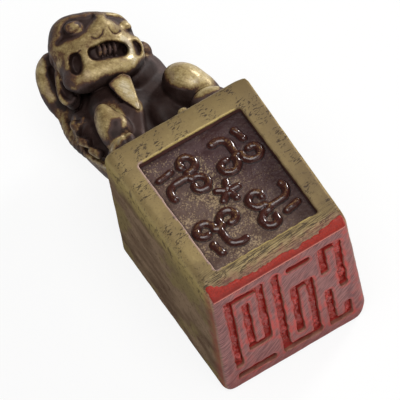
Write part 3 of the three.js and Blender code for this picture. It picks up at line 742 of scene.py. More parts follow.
def lump(clay, place, middle, sizes, tilt=0.0, blend=0.4, carve=False):
    at = place.at(middle)
    turn = place.turn @ turn_about("Z", tilt)
    reach = max(sizes)
    clay.put(at - reach, at + reach, lambda p: ball_distance(p, at, sizes, turn), blend, carve)


def lumps(clay, place, *rows):
    """Lumps in turn, each with its middle, sizes, tilt and blend."""
    for row in rows:
        lump(clay, place, *row)


def smoothed(points, sizes, steps=3):
    """A line with more points, on a curve through the given ones."""
    given = np.array([(*point, size) for point, size in zip(points, sizes)])
    if len(given) < 3:
        return given[:, :-1], given[:, -1]
    line = np.concatenate([2 * given[:1] - given[1:2], given, 2 * given[-1:] - given[-2:-1]])
    fine = []
    for a, b, c, d in zip(line, line[1:], line[2:], line[3:]):
        for step in range(steps):
            t = step / steps
            bend = (2 * a - 5 * b + 4 * c - d) * t**2 + (3 * b - a - 3 * c + d) * t**3
            fine.append(b + 0.5 * ((c - a) * t + bend))
    fine = np.array(fine + [given[-1]])
    return fine[:, :-1], np.maximum(fine[:, -1], 0)


def rope(clay, place, points, sizes, blend=0.3, carve=False):
    """A round bar along a curve through the points, with its size at each."""
    points, sizes = smoothed(points, sizes)
    ends = [place.at(p) for p in points]
    for a, b, size_a, size_b in zip(ends, ends[1:], sizes, sizes[1:]):
        reach = max(size_a, size_b)
        low, high = np.minimum(a, b) - reach, np.maximum(a, b) + reach
        clay.put(low, high, lambda p: bar_distance(p, a, b, size_a, size_b), blend, carve)


def outline_distance(flat, points, sizes):
    """Distance in the plane to a line of tapering round strokes."""
    points, sizes = smoothed([point[:2] for point in points], sizes)
    near = [bar_distance(flat, a, b, r, s) for a, b, r, s in zip(points, points[1:], sizes, sizes[1:])]
    return np.minimum.reduce(near)


def corners_round(place, points, reach, heights):
    """Lowest and highest corner of a box round a line in the place, between two heights."""
    sides = (-reach, reach)
    spots = [(x + dx, y + dy, z) for x, y in points for dx in sides for dy in sides for z in heights]
    corners = np.array([place.at(spot) for spot in spots])
    return corners.min(0), corners.max(0)


def press(clay, place, points, sizes, height, depth, wall, lowest=0.2):
    """Presses a flat-bottomed hollow along a line that the photograph shows at a height in the place."""
    window = clay.window(*corners_round(place, points, max(sizes) + wall + 3, (0, 8)))
    flat, up = place.seen(clay.points(window), height)
    within = smooth_step(wall, -0.1, outline_distance(flat, points, sizes))
    clay.distance[window] += depth * within * smooth_step(lowest, lowest + 1.2, up)


def engrave(clay, place, points, height, width, depth):
    press(clay, place, points, [0.0] * len(points), height, depth, width)


COMB_DEPTH = 0.42


def comb(clay, place, middle, strands, twist, depth, cover):
    """Combs hair over what the clay has so far: furrows from a pole behind the middle, with a twist."""
    points = clay.points()
    share = cover(place.local(points))
    here = (share > 0) & (np.abs(clay.distance) < 2)
    points = points[here]
    x, y, z = place.local(points).T
    turn = np.arctan2(y - middle[1], x - middle[0]) + twist * 0.3 * (z - middle[2])
    furrow = (0.5 - 0.5 * np.cos(strands * turn + 0.6 * noise(points, 2.6, 51.0))) ** 3
    far = smooth_step(0.8, 2.6, np.hypot(x - middle[0], y - middle[1]))
    clay.distance[here] += depth * furrow * far * share[here]


def wedge(clay, place, points, sizes, half_thickness, edge, blend):
    """A flat plate with the outline of a line of strokes, in the place's own plane."""
    reach = max(sizes) + half_thickness
    spots = np.array([place.at((x, y, 0)) for x, y in points])

    def solid(at):
        local = place.local(at)
        outline = outline_distance(local[..., :2], points, sizes)
        return soft_max(outline, np.abs(local[..., 2]) - half_thickness, edge)

    clay.put(spots.min(0) - reach, spots.max(0) + reach, solid, blend)


def plate(clay, place, corners, height, heights, edge, blend):
    """A flat plate between two heights, with convex corners as the photograph shows them at a height."""
    low, high = corners_round(place, corners, 2, heights)

    def solid(at):
        flat, up = place.seen(at, height)
        sides = []
        for (ax, ay), (bx, by) in zip(corners, corners[1:] + corners[:1]):
            length = math.hypot(bx - ax, by - ay)
            sides.append(((flat[..., 1] - ay) * (bx - ax) - (flat[..., 0] - ax) * (by - ay)) / length)
        outline = sides[0]
        for side in sides[1:]:
            outline = soft_max(outline, side, edge)
        return soft_max(outline, np.maximum(heights[0] - up, up - heights[1]), edge)

    clay.put(low, high, solid, blend)


def lion_trunk(clay):
    lumps(
        clay,
        BODY,
        ((2.0, 6.4, -2.8), (8.1, 7.3, 6.6), 0, 0.4),
        ((-3.6, 8.0, -0.8), (5.9, 8.6, 6.8), 0, 1.2),
        ((-5.4, 11.0, -2.6), (4.3, 8.1, 6.0), 8, 1.0),
        ((0.6, 12.3, -2.1), (6.1, 6.7, 5.2), -25, 1.2),
        ((0, 0.2, -2.0), (9.0, 2.2, 7.6), 0, 0.6),
        ((-4.4, 8.4, 3.0), (3.0, 7.2, 4.4), 0, 0.8),
    )


SLAB = Place(BODY.at((-4.75, 4.0, 5.4)), turn_about("Z", -25))
BEARD = Place(BODY.at((0, 0, 0)), turn_about("X", 3))
# The beard's corners as the photograph shows them at BEARD_HEIGHT, clockwise
BEARD_HEIGHT = 7.4
BEARD_OUTLINE = [(-3.75, 12.6), (-2.7, 13.0), (-1.2, 12.9), (-0.5, 12.1)]
BEARD_OUTLINE += [(-1.1, 9.4), (-1.95, 6.9), (-2.3, 6.6), (-3.5, 9.4)]


def lion_chest(clay):
    """The flat slab of the chest, with a crisp right edge beside the belly's hollow."""
    lump(clay, BODY, (0.9, 4.6, 8.6), (2.7, 5.8, 5.8), blend=0.7, carve=True)
    lump(clay, BODY, (2.6, 2.6, 8.8), (2.6, 3.0, 5.0), tilt=-10, blend=0.5, carve=True)
    half = np.float32((1.75, 5.1, 2.3))
    rounding = 0.6

    def slab(points):
        off = np.abs(SLAB.local(points)) - half + rounding
        return np.linalg.norm(np.maximum(off, 0), axis=-1) + np.minimum(off.max(-1), 0) - rounding

    clay.put(SLAB.middle - 6.5, SLAB.middle + 6.5, slab, 0.35)


def lion_legs(clay):
    # Haunch and hind foot at the right
    lump(clay, BODY, (6.2, 8.1, 3.2), (3.0, 4.2, 4.3), tilt=16, blend=0.5)
    lump(clay, BODY, (7.6, 6.8, 2.3), (2.3, 4.1, 4.0), tilt=12, blend=0.3)
    rope(clay, BODY, [(2.8, 0.8, 9.2), (7.8, 1.0, 8.0)], [0.85, 1.15], blend=0.25)
    lump(clay, BODY, (2.0, 1.2, 9.7), (0.85, 0.75, 0.8), blend=0.1)
    lump(clay, BODY, (6.6, 2.2, 6.4), (3.0, 2.4, 2.6), blend=0.5)
    # Foreleg, a worn teardrop with a shallow hollow above its toes
    lump(clay, BODY, (-6.8, 6.5, 6.7), (1.9, 4.2, 2.5), tilt=-8, blend=0.2)
    lump(clay, BODY, (-5.9, 6.0, 6.9), (1.7, 2.9, 2.2), tilt=14, blend=0.35)
    lump(clay, BODY, (-6.9, 4.6, 9.7), (1.3, 1.7, 0.7), blend=0.5, carve=True)
    lump(clay, BODY, (-7.4, 1.8, 6.6), (2.4, 2.2, 3.1), blend=0.4)
    for x, z in ((-8.6, 9.1), (-7.5, 9.6), (-6.4, 9.6)):
        lump(clay, BODY, (x, 1.3, z), (0.85, 1.5, 1.2), tilt=-20, blend=0.2)


def lion_far_side(clay):
    """What the back shows: the other haunch and legs, the tail up the back and the mane's curls."""
    lump(clay, BODY, (5.6, 6.6, -6.2), (4.0, 4.8, 3.6), tilt=8, blend=0.3)
    rope(clay, BODY, [(1.8, 0.8, -9.0), (8.2, 1.0, -8.2)], [1.1, 1.3], blend=0.25)
    rope(clay, BODY, [(-6.2, 7.6, -7.2), (-7.2, 1.0, -8.0)], [1.9, 1.6], blend=0.35)
    lump(clay, BODY, (-7.4, 0.9, -8.9), (1.9, 1.3, 1.7), blend=0.2)
    for toe in range(3):
        lump(clay, BODY, (-8.6 + 1.1 * toe, 0.8, -10.1), (0.6, 0.9, 0.8), blend=0.12)
        lump(clay, BODY, (2.2 + 1.1 * toe, 0.8, -9.9), (0.6, 0.9, 0.7), blend=0.12)
    tail = [(8.0, 3.0, -6.0), (8.2, 8.4, -4.8), (6.6, 11.2, -5.6), (4.6, 12.4, -6.2)]
    rope(clay, BODY, tail, [1.2, 1.7, 1.3, 0.7], blend=0.3)
    for strand in range(4):
        share = strand / 3
        top = (7.4 - 3.2 * share, 12.6 + 0.8 * math.sin(math.pi * share), -5.4 - 0.9 * share)
        rope(clay, BODY, [(7.6, 7.6, -5.6), top], [0.9, 0.3], blend=0.15)
    for curl in range(4):
        middle = (-2.6 - 0.5 * curl, 21.6 - 3.4 * curl, -6.0 - 0.7 * curl)
        lump(clay, BODY, middle, (1.7, 1.6, 1.5), blend=0.2)
        spiral = []
        for step in range(14):
            turn = step / 13 * 3.2 * math.pi
            size = 1.35 * (1 - 0.8 * step / 13)
            spiral.append((middle[0] + size * math.cos(turn), middle[1] + size * math.sin(turn)))
        engrave(clay, BACK, [(-x, y) for x, y in spiral], 7.5, 0.26, 0.3)


# Tufts on the left flank: plates, each at its height, with the outline of a line of strokes
TUFT_THICKNESS = 2.3
TUFTS = [
    (3.2, [(-10.1, 10.7), (-9.8, 12.1)], [0.35, 0.75]),
    (3.2, [(-10.1, 10.7), (-8.5, 11.8)], [0.4, 0.8]),
    (3.7, [(-10.6, 9.1), (-9.9, 8.2)], [0.5, 0.6]),
    (4.3, [(-10.3, 6.6), (-9.7, 5.4)], [0.45, 0.6]),
]


def lion_flank(clay):
    """The left side: a smooth rim down to the block and curled tufts in front of it."""
    rim = [(-8.6, 19.0, -2.6), (-9.5, 15.5, -1.6), (-10.0, 12.4, -0.6), (-9.9, 9.0, 0.8), (-9.3, 5.6, 2.4)]
    rope(clay, BODY, rim + [(-8.6, 1.0, 5.2)], [0.9, 0.95, 0.95, 0.95, 0.9, 0.9], blend=0.35)
    lump(clay, BODY, (-7.8, 7.6, 0.8), (2.6, 7.6, 3.6), tilt=4, blend=0.4)
    for height, line, sizes in TUFTS:
        place = Place(BODY.at((0, 0, height)), BODY.turn)
        wedge(clay, place, line, sizes, TUFT_THICKNESS / 2, 1.4, 0.35)
    groove = [(-9.4, 14.6, 2.0), (-10.2, 12.0, 2.0), (-10.1, 9.2, 2.2), (-9.9, 6.6, 2.7), (-9.5, 3.6, 4.2)]
    rope(clay, BODY, groove, [0.3, 0.4, 0.4, 0.4, 0.3], blend=0.3, carve=True)


def lion_mane(clay):
    """Neck, collar, the long lock at the left and the curled lock beside the jaw."""
    flap = [(-6.6, 24.9, 0.4), (-8.0, 23.5, 0.2), (-8.8, 20.8, -0.6), (-9.1, 17.8, -1.3)]
    rope(clay, BODY, flap, [1.3, 1.5, 1.5, 1.2], blend=0.5)
    lump(clay, BODY, (-4.2, 18.2, -2.6), (5.2, 6.4, 4.4), blend=0.8)
    lump(clay, BODY, (2.6, 15.7, -1.7), (3.8, 4.2, 4.2), tilt=-30, blend=0.8)
    rope(clay, BODY, [(4.2, 16.8, 0.2), (2.6, 14.9, 2.2), (0.4, 13.3, 4.0)], [1.1, 1.1, 0.8], blend=1.2)
    lump(clay, BODY, (-0.6, 22.6, -1.6), (4.6, 2.6, 3.6), blend=0.6)
    # Curled lock: a scooped leaf with a raised rim
    lump(clay, BODY, (-7.3, 18.4, 2.8), (1.5, 3.9, 1.7), tilt=-14, blend=0.3)
    scoop = [(-7.0, 20.6, 4.5), (-7.5, 18.6, 4.9), (-8.0, 16.8, 4.9)]
    rope(clay, BODY, scoop, [0.5, 0.75, 0.7], blend=0.25, carve=True)
    outer = [(-6.4, 22.2, 3.2), (-7.9, 19.8, 3.4), (-8.9, 17.5, 3.5)]
    outer += [(-9.1, 16.0, 3.8), (-8.6, 15.1, 4.2), (-7.9, 15.1, 4.6)]
    rope(clay, BODY, outer, [0.35, 0.4, 0.42, 0.42, 0.4, 0.35], blend=0.2)
    inner = [(-6.5, 20.8, 4.0), (-6.8, 19.3, 4.2), (-6.7, 17.8, 4.4), (-7.1, 16.3, 4.6)]
    rope(clay, BODY, inner, [0.32, 0.36, 0.36, 0.3], blend=0.2)
    rope(clay, BODY, [(-7.6, 19.1, 4.2), (-7.5, 18.0, 4.4), (-7.3, 17.0, 4.5)], [0.22, 0.25, 0.2], blend=0.15)
    lump(clay, BODY, (-7.0, 15.9, 4.6), (0.5, 0.85, 0.5), tilt=-16, blend=0.1)


# Hollows and lines of the face: points as the photograph shows them, and the hollows' sizes at each
SOCKET_LEFT = (
    [(-5.8, -0.45), (-4.7, 0.35), (-3.4, 1.4), (-2.0, 2.0), (-0.9, 2.5), (-0.1, 3.0)],
    [0.0, 0.25, 1.0, 0.75, 0.3, 0.0],
)
SOCKET_RIGHT = (
    [(2.1, 2.9), (2.9, 2.6), (3.9, 2.0), (4.9, 1.1), (5.6, 0.3)],
    [0.0, 0.15, 0.45, 0.5, 0.15],
)
MOUTH = (
    [(-1.3, -3.15), (0.7, -2.75), (2.5, -2.75)],
    [0.85, 1.12, 0.85],
)
CHEEK_LEFT = (
    [(-3.95, -4.75), (-3.85, -3.85), (-3.75, -3.0)],
    [0.3, 0.55, 0.35],
)
CHEEK_RIGHT = (
    [(5.3, -3.0), (5.3, -2.2), (5.15, -1.5)],
    [0.1, 0.3, 0.15],
)
LID = [(-2.75, 2.35), (-2.25, 2.1), (-2.1, 1.6)]
CHEEK_CREASE = [(-3.7, -2.55), (-3.1, -2.15)]
NOSTRIL_LEFT = [(-1.49, -0.73), (-1.11, -1.01), (-0.52, -0.97), (0.08, -0.49), (0.43, 0.17)]
NOSTRIL_RIGHT = [(1.23, 0.56), (1.46, -0.07), (1.87, -0.56), (2.47, -0.46), (2.85, -0.04)]
# Upper and lower teeth: the first one's middle, the step to the next, and the sizes
TEETH = (
    ((-0.35, -2.35, 3.65), (0.74, 0.06, 0), (0.35, 1.05, 0.85)),
    ((-0.1, -3.75, 3.4), (0.68, 0.08, 0), (0.3, 0.42, 0.7)),
)


def back_of_head(local):
    return smooth_step(-0.6, -2.4, local[..., 2])


def lion_face():
    """The head as its own clay, so that its hollows don't cut the body."""
    clay = Clay(HEAD.middle - HEAD_REACH, HEAD.middle + HEAD_REACH, LION_STEP)
    lumps(
        clay,
        HEAD,
        ((0.2, -0.1, -0.4), (6.35, 5.2, 5.0), 0, 0.3),
        ((3.4, 2.4, -0.7), (2.7, 2.3, 3.2), 0, 0.9),
        ((-2.6, 2.4, -0.5), (2.8, 2.3, 3.2), 0, 0.9),
        ((0.1, -3.2, 0.8), (5.4, 3.6, 4.1), 0, 0.9),
    )
    jaw = [(-4.3, -5.5, 1.5), (-2.6, -6.0, 2.6), (0.3, -5.4, 3.4), (2.9, -4.7, 3.3), (4.8, -3.4, 2.1)]
    rope(clay, HEAD, jaw, [1.2, 1.35, 1.3, 1.3, 1.2], blend=1.2)
    lump(clay, HEAD, (4.9, -2.0, 1.8), (1.75, 2.6, 2.2), blend=0.7)
    lump(clay, HEAD, (1.3, 5.95, 0.0), (1.0, 1.0, 2.6), blend=0.9, carve=True)
    # Muzzle, nose bridge and nostrils
    lump(clay, HEAD, (0.5, -1.3, 3.1), (3.5, 2.2, 1.6), tilt=4, blend=1.2)
    rope(clay, HEAD, [(1.0, 2.6, 2.2), (0.9, 1.6, 3.0), (0.85, 0.5, 3.6)], [0.9, 1.2, 1.4], blend=1.1)
    lump(clay, HEAD, (-0.3, -0.1, 4.1), (1.25, 0.95, 0.9), tilt=-8, blend=0.5)
    lump(clay, HEAD, (2.05, 0.15, 3.9), (0.95, 0.8, 0.9), tilt=8, blend=0.35)
    # The side of the face drops back behind a sharp rim
    rim = [(-7.1, 0.4, -1.4), (-7.0, -2.0, -1.2), (-6.6, -4.4, -1.0), (-5.6, -6.6, -0.9)]
    rope(clay, HEAD, rim, [1.2, 1.5, 1.6, 1.3], blend=0.2, carve=True)
    press(clay, HEAD, *SOCKET_LEFT, 3.2, 0.5, 0.85)
    press(clay, HEAD, *SOCKET_RIGHT, 3.2, 0.45, 0.7)
    press(clay, HEAD, *MOUTH, 4.8, 1.25, 0.4)
    press(clay, HEAD, *CHEEK_LEFT, 3.4, 1.15, 0.8)
    press(clay, HEAD, *CHEEK_RIGHT, 3.4, 0.7, 0.6, lowest=1.6)
    comb(clay, HEAD, (0, 1.0, -1.0), 21, 0.5, COMB_DEPTH, back_of_head)
    # Eyeballs with a lid line
    lump(clay, HEAD, (-3.0, 1.8, 2.75), (1.4, 1.1, 0.95), tilt=8, blend=0.08)
    lump(clay, HEAD, (4.5, 1.6, 2.1), (1.05, 0.85, 0.9), tilt=-14, blend=0.08)
    engrave(clay, HEAD, LID, 3.4, 0.2, 0.2)
    # Teeth
    for first, step, sizes in TEETH:
        for tooth in range(4):
            lump(clay, HEAD, np.array(first) + tooth * np.array(step), sizes, blend=0.05)
    # Nostril curls, lip line and cheek creases
    engrave(clay, HEAD, NOSTRIL_LEFT, 5.2, 0.26, 0.4)
    engrave(clay, HEAD, NOSTRIL_RIGHT, 5.2, 0.24, 0.35)
    engrave(clay, HEAD, [(2.09, -0.78), (2.26, -1.4)], 5.3, 0.22, 0.15)
    engrave(clay, HEAD, CHEEK_CREASE, 4.2, 0.26, 0.2)
    engrave(clay, HEAD, [(-2.85, -2.05), (-2.6, -2.6)], 4.2, 0.22, 0.15)
    return clay


def join_head(clay, face):
    """Adds the head to the body, where their grids overlap."""
    window = clay.window(face.low, face.low + face.step * np.array(face.distance.shape))
    points = clay.points(window)
    values = face.sample(points.reshape(-1, 3)).reshape(points.shape[:-1])
    values[np.abs(points - HEAD.middle).max(-1) > HEAD_REACH - 0.3] = FAR
    clay.distance[window] = soft_min(clay.distance[window], values, 0.25)


# Where hands have rubbed the brass (above 0) and where the patina stays (below 0), with some rows of painted
# shade (below 0)
# and of painted highlight (above 0): a line that the photograph shows at a height in a place, the sizes along
# it, how soft its edge is, and the amount
WEAR_AND_PAINTED_LIGHT = [
    (HEAD, 3.5, [(-2.4, -1.2), (2.8, -1.0)], [4.2, 4.2], 1.6, 0.55),
    (HEAD, 3.0, [(-3.8, -6.0), (-2.0, -5.9), (0.3, -5.2), (3.4, -4.7)], [0.4, 0.8, 0.8, 0.7], 0.8, 0.28),
    # Painted shade on the left side of the face
    (HEAD, 3.0, [(-5.6, -2.0), (-5.4, -4.4)], [0.4, 0.4], 1.0, -0.35),
    (HEAD, 2.5, [(-5.6, 1.6), (-3.0, 3.7), (-0.3, 4.0)], [0.9, 0.7, 0.5], 1.0, -0.2),
    (HEAD, 2.5, [(3.2, 3.9), (5.0, 2.4)], [0.5, 0.5], 0.8, 0.3),
    (HEAD, 3.2, *SOCKET_LEFT, 0.7, -1.3),
    (HEAD, 3.2, *SOCKET_RIGHT, 0.6, -1.2),
    (HEAD, 3.4, [(-3.5, 1.5), (-2.6, 1.7)], [0.85, 0.85], 0.3, 1.15),
    (HEAD, 3.4, LID, [0.05] * 3, 0.2, -0.6),
    (HEAD, 3.4, [(4.2, 1.5), (4.6, 1.4)], [0.6, 0.55], 0.3, 1.1),
    (HEAD, 4.8, *MOUTH, 0.25, -0.9),
    (HEAD, 3.2, [(5.9, -3.6), (5.0, -4.6)], [0.7, 0.8], 0.5, 0.5),
    # Painted highlight beside the mouth, from the nose's wing down to the jaw
    (HEAD, 4.2, [(3.5, -1.2), (4.1, -2.6), (3.9, -3.8)], [0.3, 0.3, 0.3], 0.7, 0.5),
    (HEAD, 3.4, *CHEEK_LEFT, 0.75, -1.2),
    (HEAD, 3.4, *CHEEK_RIGHT, 0.5, -1.1),
    (HEAD, 5.2, NOSTRIL_LEFT, [0.03] * 5, 0.14, -0.8),
    (HEAD, 5.2, NOSTRIL_RIGHT, [0.03] * 5, 0.14, -0.7),
    (HEAD, 4.2, CHEEK_CREASE, [0.05, 0.05], 0.16, -0.6),
    (BEARD, BEARD_HEIGHT, [(-2.1, 11.6), (-2.1, 10.2), (-2.1, 7.0)], [0.7, 0.7, 0.15], 1.0, 1.1),
    (HEAD, 3.9, [(-0.4, -2.4), (2.0, -2.3)], [0.9, 0.9], 0.25, 0.28),
    # Painted highlight beside the mouth, from the nose's wing down to the jaw
    (HEAD, 4.0, [(3.0, -0.4), (3.7, -1.4), (3.9, -2.6)], [0.2, 0.3, 0.3], 0.8, 0.4),
    (BODY, 8.5, [(-6.1, 9.4), (-6.4, 7.4), (-6.8, 5.8)], [0.5, 1.7, 1.9], 1.1, 0.65),
    (BODY, 9.0, [(-6.3, 5.7), (-7.2, 4.5)], [0.35, 0.6], 0.9, -1.15),
    (BODY, 8.5, [(-4.9, 7.6), (-4.8, 6.4), (-5.3, 5.0)], [0.1, 0.1, 0.1], 0.45, 0.5),
    (BODY, 7.3, [(-3.9, 7.6), (-3.9, 4.0)], [1.0, 1.0], 0.8, -0.15),
    (BODY, 9.0, [(-9.0, 2.6), (-5.8, 3.2)], [0.5, 0.4], 0.5, 0.6),
    (BODY, 4.5, [(4.9, 10.8), (7.2, 10.2), (8.0, 8.2)], [1.8, 2.1, 1.5], 1.4, 0.85),
    # Painted shade in the belly's hollow between the chest and the haunch
    (BODY, 6.5, [(2.6, 6.4), (4.4, 4.8)], [1.3, 1.0], 0.8, -0.9),
    (BODY, 5.5, [(6.2, 7.0), (8.0, 6.0)], [0.9, 0.9], 1.2, 0.3),
    (BODY, 8.6, [(2.0, 2.6), (4.6, 3.4), (8.0, 3.2)], [0.5, 0.5, 0.7], 0.4, 0.6),
    (BODY, 4.3, [(-10.1, 10.8), (-9.8, 12.1)], [0.3, 0.6], 0.5, 0.2),
    (BODY, 4.3, [(-10.1, 10.8), (-8.5, 11.8)], [0.3, 0.65], 0.5, 0.2),
    (BODY, 4.3, [(-8.93, 12.4), (-9.2, 11.7)], [0.15, 0.2], 0.35, -0.9),
    (BODY, 4.8, [(-10.5, 9.0), (-9.9, 8.2)], [0.5, 0.55], 0.5, 0.2),
    (BODY, 5.3, [(-10.3, 6.6), (-9.7, 5.4)], [0.45, 0.55], 0.5, 0.2),
    (BODY, 1.0, [(-9.9, 16.5), (-10.6, 13.5), (-10.4, 10.3), (-9.8, 7.2), (-9.2, 4.6)], [0.6] * 5, 0.7, 0.5),
    (BODY, 0.0, [(-7.9, 25.6), (-9.1, 22.8), (-9.4, 19.8)], [0.5, 0.7, 0.5], 0.8, 0.75),
    (BODY, 4.0, [(-6.6, 21.6), (-8.3, 19.0), (-9.4, 15.9), (-8.4, 14.9)], [0.1] * 4, 0.5, 0.6),
    (BODY, 4.5, [(-7.2, 16.4), (-7.1, 15.6)], [0.3, 0.3], 0.4, 0.4),
    # Painted shadow under the jaw and the curled lock, above the chest
    (BODY, 4.0, [(-7.6, 15.4), (-5.6, 14.4), (-3.4, 14.6)], [0.9, 1.4, 1.6], 1.0, -0.9),
    (BODY, 3.0, [(2.0, 14.0), (1.4, 6.0)], [2.6, 2.6], 1.5, -0.8),
]
# How far from its height wear reaches in full, and how much farther it fades out
WEAR_REACH = 2.4
WEAR_FADE = 1.8


def wear_and_light_marks(points):
    """The wear, patina and painted light at each point, and nothing where it lies far under or over the
    height in its place.
    """
    total = np.zeros(len(points), np.float32)
    for place, height, line, sizes, soft, amount in WEAR_AND_PAINTED_LIGHT:
        flat, up = place.seen(points, height)
        near = outline_distance(flat, line, sizes)
        here = smooth_step(WEAR_REACH + WEAR_FADE, WEAR_REACH, np.abs(up - height))
        total += amount * smooth_step(soft, -soft / 2, near) * here
    return total


# Lowest and highest corner of the space that the lion is sculpted in, from the block's end
LION_ROOM = np.array(((-12.2, -0.5, 0.2), (12.2, 27.4, 24.2)))


def nape(local):
    """Where the body's mane is combed: behind its middle and toward the head."""
    return smooth_step(-0.6, -2.6, local[..., UP]) * smooth_step(11.0, 13.0, local[..., ALONG])


def make_lion():
    room = LION_ROOM + (0, LION_Y, 0)
    clay = Clay(room[0], room[1], LION_STEP)
    lion_trunk(clay)
    lion_chest(clay)
    lion_mane(clay)
    lion_flank(clay)
    lion_legs(clay)
    lion_far_side(clay)
    comb(clay, BODY, (-1.0, 19.6, 0.0), 26, 0.6, COMB_DEPTH, nape)
    join_head(clay, lion_face())
    # Gap between the face and the long lock, the lobe right of the head, and the beard
    gap = [(-7.2, 22.8, 1.6), (-7.6, 20.6, 1.7), (-8.2, 17.8, 1.5)]
    rope(clay, BODY, gap, [0.6, 0.8, 0.5], blend=0.3, carve=True)
    lump(clay, HEAD, (7.1, -1.2, -0.8), (1.6, 1.7, 1.6), tilt=-10, blend=0.4)
    plate(clay, BEARD, BEARD_OUTLINE, BEARD_HEIGHT, (4.6, 7.9), 0.35, 0.15)
    # Flat seat on the block
    clay.distance = np.maximum(clay.distance, LION_Y - clay.points()[..., ALONG])
    points, quads = clay.surface()
    normals = clay.normals(points)
    ripple = LION_RIPPLE[0] * rough_noise(points, 2.2, 2.0) + LION_RIPPLE[1] * noise(points, 0.6, 4.0)
    free = smooth_step(LION_Y, LION_Y + END_STEP, points[:, ALONG])
    near_open = openness(clay, points, normals, OPEN_NEAR)
    wide_open = openness(clay, points, normals, OPEN_WIDE)
    bulge = np.clip(0.5 + clay.sample(points - normals * BULGE_REACH) / (2 * BULGE_REACH), 0, 1)
    points = points + normals * (ripple * free)[:, None]
    behind = smooth_step(-0.5, -3.5, points[:, UP] - BLOCK_MIDDLE_Z)
    ragged = 0.15 * rough_noise(points, 1.0, 61.0)
    # Wear from the shape, and the listed wear, patina, painted shade and painted highlights
    wear_and_light = 0.6 * wide_open + (0.5 + 0.3 * behind) * bulge - 0.4 + wear_and_light_marks(points) + ragged
    # Painted shade near the seat: openness is lowered where the lion meets the block
    ground = smooth_step(0.0, 1.2, points[:, ALONG] - LION_Y)
    marks = {"open": near_open * (0.4 + 0.6 * ground), "wide": wide_open, "wear_and_light": np.clip(wear_and_light, -0.6, 1.6)}
    make_piece("lion_casting", points, quads, lion_finish(), "lion_figure", marks)


# The block


def bevel_at(x):
    share = np.clip(x / (2 * BLOCK_HIGH[RIGHT]) + 0.5, 0, 1)
    run = BEVEL_RUN[0] + (BEVEL_RUN[1] - BEVEL_RUN[0]) * share
    drop = BEVEL_DROP[0] + (BEVEL_DROP[1] - BEVEL_DROP[0]) * share
    return run, drop


def bevel_frame(points):
    """Height over the bevel's plane, distance up its slope from the seal face, and the slope's length."""
    run, drop = bevel_at(points[..., RIGHT])
    length = np.hypot(run, drop)
    y = points[..., ALONG] - SEAL_Y
    z = points[..., UP] - (FRONT_Z - drop)
    height = (z * run - y * drop) / length
    along = (y * run + z * drop) / length
    return height, along, length


def block_distance(points):
    """The block's outer form without its panel and grooves."""
    x, y, z = points[..., RIGHT], points[..., ALONG], points[..., UP]
    share = np.clip((LION_Y - y) / (LION_Y - SEAL_Y), 0, 1)
    backward = 1 - z / FRONT_Z
    half_x = BLOCK_HIGH[RIGHT] + (BACK_FLARE * backward - TAPER) * share
    half_x = half_x + np.where(x > 0, RIGHT_SWELL * (1 - share) ** 1.5, 0)
    half_z = FRONT_Z / 2
    radius = np.zeros(x.shape, np.float32)
    for edges, here_z in ((FRONT_EDGES, z >= half_z), (BACK_EDGES, z < half_z)):
        for (at_lion, at_seal), here_x in zip(edges, (x < 0, x >= 0)):
            radius = np.where(here_x & here_z, at_lion + (at_seal - at_lion) * share, radius)
    off_x = np.abs(x) - half_x + radius
    off_z = np.abs(z - half_z) - half_z + radius
    ring = np.hypot(np.maximum(off_x, 0), np.maximum(off_z, 0))
    ring = ring + np.minimum(np.maximum(off_x, off_z), 0) - radius
    ends = np.maximum(SEAL_Y - SEAL_LEAN * backward - y, y - LION_Y - END_STEP)
    sideways = smooth_step(-1.5, 1.5, off_x - off_z)
    rounding = SEAL_ROUNDING[1] + (SEAL_ROUNDING[0] - SEAL_ROUNDING[1]) * sideways
    right_corner = sideways * smooth_step(2.0, 7.0, x)
    at_lion = END_ROUNDING[0] + (END_ROUNDING[1] - END_ROUNDING[0]) * right_corner
    form = soft_max(ring, ends, np.where(share < 0.5, at_lion, rounding))
    height, _, _ = bevel_frame(points)
    return soft_max(form, height, BEVEL_FILLET)


def rectangle_distance(flat, low, high, radius=0.0):
    middle = (np.array(low) + high) / 2
    half = (np.array(high) - low) / 2 - radius
    off = np.abs(flat - np.float32(middle)) - np.float32(half)
    outside = np.sqrt((np.maximum(off, 0) ** 2).sum(-1))
    return outside + np.minimum(off.max(-1), 0) - radius


def panel_distance(points):
    ragged = 0.07 * noise(points, 1.1, 11.0) + 0.04 * noise(points, 0.4, 13.0)
    low, high = PLAQUE_LOW[:2] - PANEL_CLEARANCE, PLAQUE_HIGH[:2] + PANEL_CLEARANCE
    side = rectangle_distance(points[..., :2], low, high, PANEL_CORNER) + ragged
    return soft_max(side, PLAQUE_LOW[UP] - points[..., UP], 0.1)


# The fret on the seal face: each groove is a line through cells (column, row) of a grid
FRET = {
    "left_spiral": [(0, 1), (0, 7), (2, 7), (2, 2), (1, 2), (1, 6)],
    "foot_bar": [(0, 0), (2, 0)],
    "middle_spiral": [(3, 7), (3, 0), (5, 0), (5, 5), (4, 5), (4, 1)],
    "top_bar": [(4, 7), (5, 7)],
    "upper_hook": [(6, 5), (6, 7), (7, 7), (7, 3)],
    "lower_hook": [(6, 3), (6, 0), (7, 0), (7, 1)],
}
LAST_CELL = 7


def fret_grid():
    """The middle of the first and of the last cell, from the boxes of the paste in the grooves."""
    half = GROOVE_WIDTH / 2 - PASTE_GAP
    left_low, left_high = box_mm("paste_left_spiral")
    foot_low, _ = box_mm("paste_foot_bar")
    _, right_high = box_mm("paste_upper_hook")
    first = np.array((left_low[RIGHT] + half, foot_low[UP] + half))
    last = np.array((right_high[RIGHT] - half, left_high[UP] - half))
    return first, last


